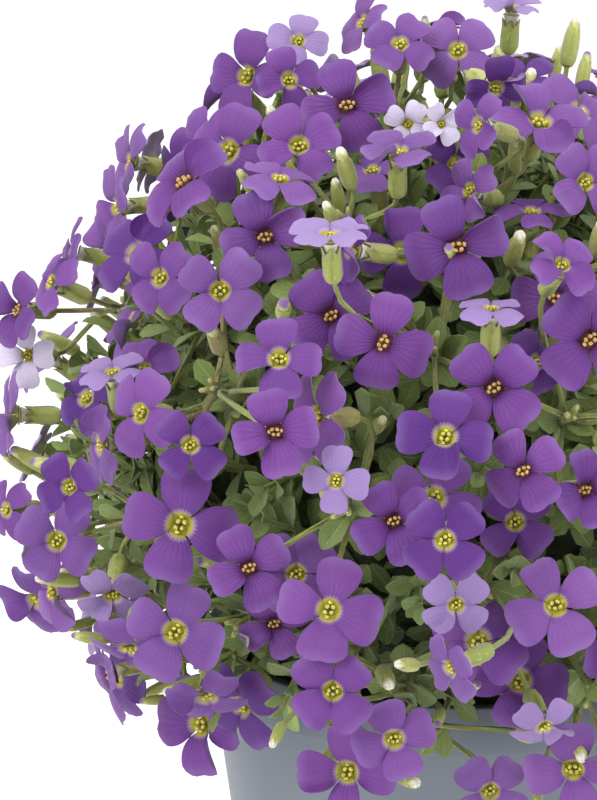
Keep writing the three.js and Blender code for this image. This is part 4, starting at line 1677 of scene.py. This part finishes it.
class FlowerKit:
    """The templates of blooms, buds, stalks and leaves, and the rules that put them on a head's place."""

    PETALS = 9
    CURLED = 2
    FAINT_CURL = (0.0, 0.1)
    STRONG_CURL = (0.5, 0.9)
    PETAL_STEP = 5
    PETAL_TURN = 5
    PETAL_TILT = 0.14
    PETAL_OVERLAP = (0.04, 0.13)
    PETAL_SIZES = (0.93, 1.02)
    TONE_SPREAD = 0.12
    CURL_CHANCE = 0.13
    OPENINGS = (-0.2, 0.32)
    WHITE_OPENING = 0.34
    CALYX_FOOT = 9.2
    BUD_FOOT = 4.4
    BUD_SIZES = (0.9, 1.05)
    WHITE_BUDS = 0.55
    PEDICEL_TOP = 0.55
    PEDICEL_FOOT = 0.6
    BLOOM_PALE = {Look.YELLOW: (0.0, 0.2), Look.DARK: (0.0, 0.1), Look.DEEP: (0.0, 0.0),
                  Look.PALE: (0.5, 0.75), Look.WHITE: (0.95, 1.0)}
    BLOOM_DEPTH = {Look.YELLOW: (0.0, 0.35), Look.DARK: (0.1, 0.45), Look.DEEP: (0.75, 1.0),
                   Look.PALE: (0.0, 0.15), Look.WHITE: (0.0, 0.0)}

    def __init__(self) -> None:
        """Makes every template. The last petals are the curled ones."""
        draws = Draws(401)
        curls = [self.FAINT_CURL] * (self.PETALS - self.CURLED) + [self.STRONG_CURL] * self.CURLED
        self.petals = [
            PetalShape(
                droop=draws.between(0.0, 0.22),
                wave=draws.between(0.03, 0.1),
                phase=draws.between(0, math.tau),
                half_width=draws.between(0.39, 0.46),
                curl=draws.between(*curl),
            ).make(f"petal_{number}")
            for number, curl in enumerate(curls)
        ]
        shapes = (LeafShape(0.25, 0.1, 0.12), LeafShape(0.29, 0.06, 0.22), LeafShape(0.21, 0.14, 0.04))
        self.leaves = [shape.make(f"leaf_{number}") for number, shape in enumerate(shapes)]
        self.throat = self._make_throat()
        self.anthers = self._make_anthers()
        self.calyx = self._make_calyx()
        self.tube = self._make_tube()
        self.bud = self._make_bud()

    @staticmethod
    def _make_throat() -> Mesh:
        """The cup between the petals' feet, in shares of the bloom's radius.

        Returns:
            The mesh.
        """
        template = Template("throat")
        bmesh.ops.create_circle(template.bm, segments=12, radius=0.22, cap_ends=True, calc_uvs=True)
        for thickness, depth in ((0.05, 0.005), (0.06, -0.06), (0.06, -0.05)):
            cap = max(template.bm.faces, key=lambda face: len(face.verts))
            bmesh.ops.inset_region(template.bm, faces=[cap], thickness=thickness, depth=depth)
        template.bm.normal_update()
        for vert in template.bm.verts:
            for loop in vert.link_loops:
                loop[template.uv].uv = (0.5 + vert.co.x * 2.25, 0.5 + vert.co.y * 2.25)
        bmesh.ops.translate(template.bm, verts=template.bm.verts, vec=(0, 0, 0.012))
        template.thicken(0.02, Slot.THROAT, Slot.THROAT)
        return template.mesh()

    @staticmethod
    def _make_anthers() -> Mesh:
        """Four tall anthers and two low ones round the throat, in shares of the bloom's radius.

        Returns:
            The mesh.
        """
        template = Template("anthers")
        spots = [(0.07, 38, 0.0), (0.085, 130, 0.02), (0.065, 228, -0.01), (0.09, 312, 0.01),
                 (0.14, 0, -0.03), (0.13, 170, -0.02)]
        for spread, degrees, height in spots:
            angle = math.radians(degrees)
            place = Matrix.Translation((spread * math.cos(angle), spread * math.sin(angle), height))
            grain = Matrix.Diagonal((0.042, 0.054, 0.062, 1.0))
            bmesh.ops.create_icosphere(template.bm, subdivisions=1, radius=1.0,
                                       matrix=place @ Matrix.Rotation(angle, 4, "Z") @ grain)
        template.paint(template.bm.faces, Slot.ANTHER)
        return template.mesh()

    @staticmethod
    def _make_calyx() -> Mesh:
        """The calyx in millimetres below the bloom's face: four blunt sepals round the petals' pale funnel.

        Returns:
            The mesh.
        """
        template = Template("calyx")
        stations = [(-9.7, 0.7), (-9.2, 1.4), (-8.0, 1.9), (-5.8, 1.9), (-3.9, 1.78), (-2.7, 1.7),
                    (-3.1, 1.2)]
        rings = template.tower(8, stations, Slot.GREEN)
        for ring in rings[2:5]:
            for vert in ring[1::2]:
                vert.co.xy *= 0.9
        for number, vert in enumerate(rings[5]):
            at_tip = number % 2 == 0
            vert.co.z += 0.8 if at_tip else -0.8
            vert.co.xy *= 1.1 if at_tip else 0.88
        template.tower(8, [(-5.6, 0.9), (-3.4, 1.15), (-2.2, 1.35), (-1.35, 1.75)], Slot.TIP)
        return template.mesh()

    @staticmethod
    def _make_tube() -> Mesh:
        """A straight tube of length and radius one.

        Returns:
            The mesh.
        """
        template = Template("tube")
        template.tower(5, [(i / 7, 1.0) for i in range(8)], Slot.GREEN)
        return template.mesh()

    @staticmethod
    def _make_bud() -> Mesh:
        """A bud in millimetres about its middle: four closed sepals with the folded petals at the tip.

        Returns:
            The mesh.
        """
        template = Template("bud")
        stations = [(-4.7, 0.7), (-4.2, 1.3), (-3.0, 1.7), (-0.4, 1.8), (2.0, 1.65), (3.2, 1.35)]
        rings = template.tower(8, stations, Slot.GREEN)
        for number, vert in enumerate(rings[5]):
            vert.co.z += 0.6 if number % 2 == 0 else -0.5
            vert.co.xy *= 0.96 if number % 2 == 0 else 1.04
        template.tower(8, [(1.8, 1.0), (3.3, 1.25), (4.6, 1.2), (5.6, 0.75), (5.9, 0.12)], Slot.TIP)
        return template.mesh()

    def bloom(self, bunch: Bunch, head: Head, draws: Draws) -> None:
        """Puts a whole bloom on a head's place: petals, throat, anthers, calyx and pedicel.

        Args:
            bunch: the piece to add to.
            head: the bloom's place and look.
            draws: the stream of its variations.
        """
        traits = Traits(
            tone=draws.next(),
            pale=draws.between(*self.BLOOM_PALE[head.look]),
            depth=draws.between(*self.BLOOM_DEPTH[head.look]),
            eye=1.0 if head.look is Look.DARK else 0.0,
        )
        axes = cross_axes(head.facing, head.petal)
        opening = self.WHITE_OPENING if head.look is Look.WHITE else draws.between(*self.OPENINGS)
        start = int(draws.next() * self.PETALS)
        for number in range(4):
            angle = math.radians(90 * number + draws.between(-self.PETAL_TURN, self.PETAL_TURN))
            radial = around(axes, angle)
            side = np.cross(head.facing, radial)
            lean = draws.between(-self.PETAL_TILT, self.PETAL_TILT) - opening
            tilted = unit(head.facing + side * draws.between(*self.PETAL_OVERLAP) + radial * lean)
            size = head.radius * draws.between(*self.PETAL_SIZES)
            tone = traits.tone + draws.between(-self.TONE_SPREAD, self.TONE_SPREAD)
            tone = min(1.0, max(0.0, tone))
            curled = draws.next() < self.CURL_CHANCE
            plain = (start + number * self.PETAL_STEP) % (self.PETALS - self.CURLED)
            petal = self.petals[-1 - start % self.CURLED] if curled else self.petals[plain]
            bunch.add(petal, stand(head.point, radial, tilted, size), replace(traits, tone=tone))
        upright = stand(head.point, head.petal, head.facing, head.radius)
        bunch.add(self.throat, upright, traits)
        bunch.add(self.anthers, upright, traits)
        green = Traits(draws.next(), 1.0, draws.next(), 0.0)
        bunch.add(self.calyx, stand(head.point, axes[0] + axes[1], head.facing, 1.0), green)
        self._pedicel(bunch, head, self.CALYX_FOOT, green)

    def _pedicel(self, bunch: Bunch, head: Head, depth: float, traits: Traits) -> None:
        """Puts the stem under a head, from its foot down to its joint.

        Args:
            bunch: the piece to add to.
            head: the head.
            depth: how far its foot is behind its middle.
            traits: the stem's look.
        """
        top = head.point - head.facing * depth
        out = unit(head.joint - UP * MOUND_HEIGHT)
        route = Route(top, -head.facing, head.joint, -out, self.PEDICEL_TOP, self.PEDICEL_FOOT)
        bunch.add_tube(self.tube, route, replace(traits, eye=1.0))

    def small_bud(self, bunch: Bunch, head: Head, draws: Draws, size: float = 1.0) -> None:
        """Puts a bud on a head's place, with its stem.

        Args:
            bunch: the piece to add to.
            head: the bud's place.
            draws: the stream of its variations.
            size: its share of a full bud.
        """
        traits = Traits(draws.next() * 0.8, 1.0 if draws.next() < self.WHITE_BUDS else 0.0, draws.next())
        size *= draws.between(*self.BUD_SIZES)
        bunch.add(self.bud, stand(head.point, away_from(head.facing), head.facing, size), traits)
        self._pedicel(bunch, head, self.BUD_FOOT * size, traits)

    def leaf(self, bunch: Bunch, root: ndarray, along: ndarray, face: ndarray, length: float,
             traits: Traits, kind: int = 0) -> None:
        """Puts a leaf with its foot at a point.

        Args:
            bunch: the piece to add to.
            root: the foot, in millimetres.
            along: the way that the leaf runs.
            face: a direction that its upper side shows.
            length: its length.
            traits: its own look.
            kind: which of the leaf shapes.
        """
        upper = cross_axes(unit(along), face)[0]
        bunch.add(self.leaves[kind % len(self.leaves)], stand(root, along, upper, length), traits)


@dataclass
class Pot:
    """The round tapered nursery pot, with its band at the rim and six drain holes."""

    height: float = POT_HEIGHT
    rim: float = RIM_RADIUS
    foot: float = BASE_RADIUS
    edge: float = 0.5
    sides: int = 112
    drain_holes: int = 6
    drain_radius: float = 3.2
    drain_circle: float = 29.0

    def profile(self) -> list[tuple[float, float]]:
        """The pot's section as (radius, height) points, from the middle of its base round to its floor.

        Returns:
            The points.
        """
        band_foot = self.height - BAND_HEIGHT
        inside = self.rim - BAND_STEP - WALL
        return [
            (0, 0),
            (self.foot - 1, 0),
            (self.foot, 1),
            (self.rim - BAND_STEP, band_foot),
            (self.rim, band_foot),
            (self.rim, self.height),
            (inside, self.height),
            (self.foot - WALL, FLOOR_THICKNESS),
            (0, FLOOR_THICKNESS),
        ]

    def build(self, finish: Material) -> Object:
        """Makes the pot, its edges rounded and its holes cut.

        Args:
            finish: the plastic.

        Returns:
            The piece that stands for the solid pot.
        """
        template = Template("nursery_pot")
        template.lathe(self.profile(), self.sides, Slot.FACE)
        rings = [edge for edge in template.bm.edges if self._is_corner(edge)]
        bmesh.ops.bevel(template.bm, geom=rings, offset=self.edge, segments=3, affect="EDGES", profile=0.5,
                        material=-1)
        bmesh.ops.scale(template.bm, verts=template.bm.verts, vec=(MM, MM, MM))
        mesh = template.mesh()
        mesh.materials.append(finish)
        piece = new_object("nursery_pot", mesh)
        self._cut_holes(piece)
        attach(piece, "root")
        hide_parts("pot")
        return piece

    def _is_corner(self, edge: BMEdge) -> bool:
        """Whether an edge runs round the pot at a sharp corner of its section.

        Args:
            edge: the edge.

        Returns:
            True where it does.
        """
        ends = [vert.co for vert in edge.verts]
        level = abs(ends[0].z - ends[1].z) < 1e-3
        return level and ends[0].xy.length > 1 and edge.calc_face_angle(0.0) > 0.5

    def _cut_holes(self, piece: Object) -> None:
        """Cuts the drain holes through the floor.

        Args:
            piece: the pot.
        """
        drills = Template("drain_holes")
        ends = [(-2, self.drain_radius), (FLOOR_THICKNESS + 2, self.drain_radius)]
        for number in range(self.drain_holes):
            angle = math.tau * (number + 0.5) / self.drain_holes
            rings = drills.tower(20, ends, Slot.FACE)
            away = (self.drain_circle * math.cos(angle), self.drain_circle * math.sin(angle), 0)
            bmesh.ops.translate(drills.bm, verts=[vert for ring in rings for vert in ring], vec=away)
        bmesh.ops.scale(drills.bm, verts=drills.bm.verts, vec=(MM, MM, MM))
        drill = new_object("drain_holes", drills.mesh())
        cut = piece.modifiers.new("drain_holes", "BOOLEAN")
        cut.operation = "DIFFERENCE"
        cut.object = drill
        shown = piece.evaluated_get(bpy.context.evaluated_depsgraph_get())
        mesh = bpy.data.meshes.new_from_object(shown)
        piece.modifiers.clear()
        piece.data = mesh
        bpy.data.objects.remove(drill)


@dataclass
class Compost:
    """The compost in the pot: an uneven crumbly top with loose crumbs and a little pale grit."""

    crumbs: int = 300
    grits: int = 18
    unevenness: float = 0.7
    rings: int = 16
    sides: int = 64
    crumb_sizes: tuple[float, float] = (0.5, 1.5)

    def wall(self, height: float) -> float:
        """The compost's radius at a height, just inside the pot's wall."""
        slope = (RIM_RADIUS - BAND_STEP - BASE_RADIUS) / (POT_HEIGHT - FLOOR_THICKNESS)
        return BASE_RADIUS - WALL + slope * (height - FLOOR_THICKNESS) - 1.2 * SEAT_GAP

    def build(self, finish: Material) -> Object:
        """Makes the compost.

        Args:
            finish: the peat.

        Returns:
            The piece that stands for the solid compost.
        """
        bottom = FLOOR_THICKNESS + SEAT_GAP
        edge = self.wall(SOIL_TOP)
        top = [(edge * (1 - i / self.rings), SOIL_TOP) for i in range(self.rings + 1)]
        template = Template("peat")
        template.lathe([(0, bottom), (self.wall(bottom), bottom), *top], self.sides, Slot.FACE)
        for vert in template.bm.verts:
            if vert.co.z > SOIL_TOP - 1 and vert.co.xy.length < edge - 0.5:
                x, y = vert.co.xy
                ripple = math.sin(x * 0.9) * math.cos(y * 1.1) + math.sin(x * 0.31 + 2)
                vert.co.z += self.unevenness * 0.5 * (ripple - 1)
        bunch = Bunch("peat_compost", [finish])
        bunch.add(template.mesh(), Matrix.Scale(MM, 4), Traits())
        crumb = Template("crumb")
        bmesh.ops.create_icosphere(crumb.bm, subdivisions=1, radius=1.0)
        crumb_mesh = crumb.mesh()
        draws = Draws(77)
        for number in range(self.crumbs):
            angle = draws.between(0, math.tau)
            spread = (edge - 2.5) * math.sqrt(draws.between(0.08, 1))
            size = draws.between(*self.crumb_sizes)
            point = np.array((spread * math.cos(angle), spread * math.sin(angle), SOIL_TOP - 0.2))
            tilt = np.array((draws.next() - 0.5, draws.next() - 0.5, 1.0))
            pale = 1.0 if number < self.grits else 0.0
            first = around(cross_axes(unit(tilt), RIGHT), angle)
            bunch.add(crumb_mesh, stand(point, first, tilt, size), Traits(draws.next(), pale))
        return bunch.finish("compost", "compost")


@dataclass
class Cushion:
    """The cushion of shoots under the blooms: its packed inside, its large leaves and its small ones."""

    planting: Planting
    kit: FlowerKit
    finishes: list[Material]
    neck: float = 8.0
    neck_depth: float = 14.0
    hem: float = 44.0
    waist: float = 46.5
    waist_height: float = 1.5
    lowest: float = 112.0
    polar_step: float = 7.0
    core_depth: float = 1.5
    core_sides: int = 56
    shoots: int = 360
    shoot_leaves: int = 12
    lowest_shoot: float = -0.36
    shoot_sway: float = 0.45
    root_depth: float = 4.0
    stem_foot: float = 0.8
    stem_top: float = 0.5
    tip_length: float = 3.0
    shortening: float = 2.0
    shoot_heights: tuple[float, float] = (8.0, 24.0)
    crown_height: float = 6.0
    least_height: float = 4.0
    shoot_cover: float = 6.0
    leaf_cover: float = 2.0
    leaf_lengths: tuple[float, float] = (6.5, 10.5)
    foot_splay: float = 1.45
    splay_loss: float = 1.05

    def _core(self) -> Mesh:
        """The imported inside: a smaller mound, drawn in over the rim, with a neck into the compost.

        Returns:
            The mesh, in millimetres.
        """
        mound = self.planting.mound
        profile = [
            (0, SOIL_TOP - self.neck_depth),
            (self.neck, SOIL_TOP - self.neck_depth),
            (self.neck, SOIL_TOP + SEAT_GAP),
            (self.hem, SOIL_TOP + SEAT_GAP),
            (self.waist, POT_HEIGHT + self.waist_height),
        ]
        polar = self.lowest
        while polar > 0:
            out = np.array((math.sin(math.radians(polar)), 0.0, math.cos(math.radians(polar))))
            radius = mound.cushion_share * mound.reach(out) / mound.dip(out) - self.core_depth
            profile.append((radius * out[0], mound.height + radius * out[2]))
            polar -= self.polar_step
        profile.append((0, mound.height + mound.cushion_share * mound.radius - self.core_depth))
        template = Template("core")
        template.lathe(profile, self.core_sides, Slot.CORE)
        for vert in template.bm.verts:
            out = np.array(vert.co) - mound.centre
            if vert.co.z > POT_HEIGHT + 10:
                lumps = 1 + 0.012 * math.sin(out[0] * 0.5) * math.cos(out[1] * 0.45 + out[2] * 0.3)
                vert.co = mound.centre + out * (mound.dip(unit(out)) * lumps)
        return template.mesh()

    def build(self) -> list[Object]:
        """Makes the cushion and, as two pieces of their own, the shoots that cover it.

        Returns:
            The three pieces.
        """
        cushion = Bunch("leafy_cushion", self.finishes)
        cushion.add(self._core(), Matrix.Scale(MM, 4), Traits())
        draws = Draws(55)
        for number, place in enumerate(self.planting.leaves):
            face = cross_axes(place.along, place.flat)[1]
            traits = Traits(draws.next(), draws.between(0, 0.4), draws.between(0, 0.3))
            self.kit.leaf(cushion, place.root, place.along, face, LEAF_LENGTH, traits, number)
        upper = Bunch("upper_leafy_shoots", self.finishes)
        lower = Bunch("lower_leafy_shoots", self.finishes)
        for number in range(self.shoots):
            out = lattice_direction(number, int(self.shoots * 2 / (1 - self.lowest_shoot)))
            self._shoot(upper if 2 * number < self.shoots else lower, out, draws)
        return [cushion.finish("foliage", "foliage"), upper.finish("foliage"), lower.finish("foliage")]

    def _shoot(self, bunch: Bunch, out: ndarray, draws: Draws) -> None:
        """Puts one leafy shoot on the cushion, in a direction from its centre, as tall as there is room for.

        Args:
            bunch: the piece to add to.
            out: the direction.
            draws: the stream of its variations.
        """
        root = self.planting.mound.over_cushion(out, draws.between(-self.root_depth, 0))
        axes = cross_axes(out, away_from(out))
        axis = unit(out + around(axes, draws.between(0, math.tau)) * draws.between(0.0, self.shoot_sway))
        height = draws.between(*self.shoot_heights) + self.crown_height * max(0.0, out[2])
        while height > self.least_height and not self._has_place(
                root + axis * height, root + axis * (height - self.tip_length), self.shoot_cover):
            height -= self.shortening
        stem = Traits(draws.next(), 0.0, draws.next() ** 2, 1.0)
        route = Route(root, axis, root + axis * height, axis, self.stem_foot, self.stem_top)
        bunch.add_tube(self.kit.tube, route, stem)
        ring = cross_axes(axis, away_from(axis))
        turn = draws.between(0, math.tau)
        for number in range(self.shoot_leaves):
            share = number / (self.shoot_leaves - 1)
            side = around(ring, turn + number * GOLDEN_ANGLE)
            lean = self.foot_splay - self.splay_loss * share + draws.between(-0.2, 0.2)
            along = unit(axis * math.cos(lean) + side * math.sin(lean))
            length = draws.between(*self.leaf_lengths) * (1 - 0.3 * share)
            foot = root + axis * (height * share)
            # the third trait is painted shade, strongest on the leaves at the shoot's foot, deep in the
            # cushion
            traits = Traits(
                draws.next(), draws.between(0, 0.5) * share, draws.between(0.1, 1.0) * (1 - share)
            )
            tip, middle = foot + along * length, foot + along * (LEAF_MIDDLE * length)
            if self._has_place(tip, middle, self.leaf_cover):
                self.kit.leaf(bunch, foot, along, axis, length, traits, number)

    def _has_place(self, tip: ndarray, middle: ndarray, cover: float) -> bool:
        """Whether a tip stays far enough under the blooms' mound, and is clear of them with its middle."""
        return self.planting.mound.cover(tip) > cover and self.planting.has_room(tip, middle)


@dataclass
class FlowerSprays:
    """Every flower spray: its stalk, small leaves, blooms and buds, in a piece that stands for its solid."""

    planting: Planting
    kit: FlowerKit
    finishes: list[Material]
    stalk_leaves: int = 10
    leaf_leans: tuple[float, float] = (0.6, 1.2)
    leaf_lengths: tuple[float, float] = (6.0, 10.0)
    young_sizes: tuple[float, float] = (0.6, 0.98)
    top_buds: int = 3
    top_bud_sizes: tuple[float, float] = (0.3, 0.48)

    def build(self) -> list[Object]:
        """Makes the sprays, and the half hidden blooms between them in a piece of their own.

        Returns:
            The pieces.
        """
        pieces = []
        for number, spray in enumerate(self.planting.sprays, start=1):
            draws = Draws(1000 + 37 * number)
            bunch = Bunch(f"flower_spray_{number:02d}", self.finishes)
            self._stalk(bunch, spray, draws)
            for head in spray.heads:
                self._head(bunch, head, draws)
            for bud in spray.young:
                self.kit.small_bud(bunch, bud, draws, draws.between(*self.young_sizes))
            pieces.append(bunch.finish("flower", f"spray_{number:02d}"))
        tucked = Bunch("tucked_in_blooms", self.finishes)
        draws = Draws(31)
        for head in self.planting.tucked:
            self._head(tucked, head, draws)
        pieces.append(tucked.finish("flower"))
        return pieces

    def _head(self, bunch: Bunch, head: Head, draws: Draws) -> None:
        """Puts a bloom or a bud on its place."""
        if head.petal is None:
            self.kit.small_bud(bunch, head, draws)
        else:
            self.kit.bloom(bunch, head, draws)

    def _stalk(self, bunch: Bunch, spray: Spray, draws: Draws) -> None:
        """Puts up a spray's stalk, with small leaves round it and young buds at its top.

        Args:
            bunch: the piece to add to.
            spray: the spray.
            draws: the stream of its variations.
        """
        mound = self.planting.mound
        top_height = FIRST_JOINT + JOINT_STEP * (len(spray.heads) - 1) + 1.2
        root = mound.over_cushion(spray.foot, -STALK_ROOT)
        top = mound.over_cushion(spray.foot, top_height)
        route = Route(root, spray.foot, top, spray.foot, STALK_RADIUS, STALK_RADIUS * 0.8)
        green = Traits(draws.next(), 0.0, draws.next() ** 2, 1.0)
        bunch.add_tube(self.kit.tube, route, green)
        ring = cross_axes(spray.foot, away_from(spray.foot))
        turn = draws.between(0, math.tau)
        for number in range(self.stalk_leaves):
            share = number / (self.stalk_leaves - 1)
            side = around(ring, turn + number * GOLDEN_ANGLE)
            lean = draws.between(*self.leaf_leans)
            along = unit(spray.foot * math.cos(lean) + side * math.sin(lean))
            foot = mound.over_cushion(spray.foot, -1 + (top_height - 1) * share)
            traits = Traits(draws.next(), draws.between(0, 0.5), draws.between(0, 0.4))
            length = draws.between(*self.leaf_lengths)
            tip, middle = foot + along * length, foot + along * (LEAF_MIDDLE * length)
            if self.planting.has_room(tip, middle):
                self.kit.leaf(bunch, foot, along, spray.foot, length, traits, number)
        for number in range(self.top_buds):
            side = around(ring, turn + number * math.tau / self.top_buds)
            facing = unit(spray.foot + side * draws.between(0.2, 0.7))
            size = draws.between(*self.top_bud_sizes)
            bunch.add(self.kit.bud, stand(top + facing * (4.2 * size), side, facing, size),
                      Traits(draws.next(), 1.0, 1.0))


@dataclass
class Studio:
    """A plain pale floor, an even bright surround, soft lamps, and the reference view's camera."""

    view: ReferenceView
    sensor: float = 36.0
    surround: float = 1.0

    def build(self) -> None:
        """Sets the camera, the floor and the light."""
        self._camera()
        self._floor()
        world = bpy.data.worlds.new("bright_surround")
        world.use_nodes = True
        world.node_tree.nodes["Background"].inputs["Color"].default_value = (1.0, 1.0, 1.0, 1.0)
        world.node_tree.nodes["Background"].inputs["Strength"].default_value = self.surround
        bpy.context.scene.world = world
        bpy.context.scene.view_settings.view_transform = "Standard"
        self._lamp("left_softbox", (-0.75, -0.75, 0.85), 0.7, 9.0)
        self._lamp("right_softbox", (0.9, -0.55, 0.6), 0.7, 5.0)
        self._lamp("top_softbox", (0.0, 0.1, 1.2), 0.8, 5.0)

    def _camera(self) -> None:
        """Puts the camera where the reference view is seen from."""
        lens = bpy.data.cameras.new("reference_view")
        lens.sensor_width = self.sensor
        lens.lens = self.sensor * self.view.distance / (self.view.height / self.view.pixels_per_mm)
        lens.clip_end = 20.0
        camera = new_object("reference_view", lens)
        axes = (RIGHT, self.view.up, -self.view.forward, self.view.eye * MM)
        rows = [tuple(float(axis[row]) for axis in axes) for row in range(3)]
        camera.matrix_world = Matrix([*rows, (0, 0, 0, 1)])
        bpy.context.scene.camera = camera

    def _floor(self) -> None:
        """Lays the floor."""
        bm = bmesh.new()
        bmesh.ops.create_grid(bm, x_segments=1, y_segments=1, size=6.0)
        mesh = bpy.data.meshes.new("pale_floor")
        bm.to_mesh(mesh)
        bm.free()
        floor = new_object("pale_floor", mesh)
        tree = ShaderTree("pale_floor")
        mesh.materials.append(tree.surface(Base_Color=(0.92, 0.92, 0.92, 1.0), Roughness=0.9))

    @staticmethod
    def _lamp(name: str, place: tuple[float, float, float], size: float, power: float) -> None:
        """Hangs a square soft lamp that shines at the middle of the plant.

        Args:
            name: its name.
            place: where it hangs, in metres.
            size: its side.
            power: its power in watts.
        """
        light = bpy.data.lights.new(name, "AREA")
        light.shape = "SQUARE"
        light.size = size
        light.energy = power
        lamp = new_object(name, light)
        lamp.location = place
        towards = Vector((0.0, 0.0, 0.12)) - Vector(place)
        lamp.rotation_euler = towards.to_track_quat("-Z", "Y").to_euler()


def report(pieces: Iterable[Object]) -> None:
    """Names each piece and its size in triangles.

    Args:
        pieces: the finished pieces.
    """
    for piece in pieces:
        piece.data.calc_loop_triangles()
        log.info("%s: %d triangles", piece.name, len(piece.data.loop_triangles))


def main() -> None:
    """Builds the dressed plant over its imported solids, and the studio around it."""
    logging.basicConfig(level=logging.INFO, format="%(name)s %(message)s")
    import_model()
    view = ReferenceView()
    Studio(view).build()
    planting = Planting(Mound(), view)
    kit = FlowerKit()
    finishes = [finish.make() for finish in (
        PetalFinish(), PetalBackFinish(), ThroatFinish(), AntherFinish(), GreenFinish(), BudTipFinish(),
        LeafFinish(), CoreFinish(),
    )]
    report([Pot().build(PotFinish().make()), Compost().build(CompostFinish().make())])
    report(Cushion(planting, kit, finishes).build())
    report(FlowerSprays(planting, kit, finishes).build())
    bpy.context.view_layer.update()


if __name__ == "__main__":
    main()
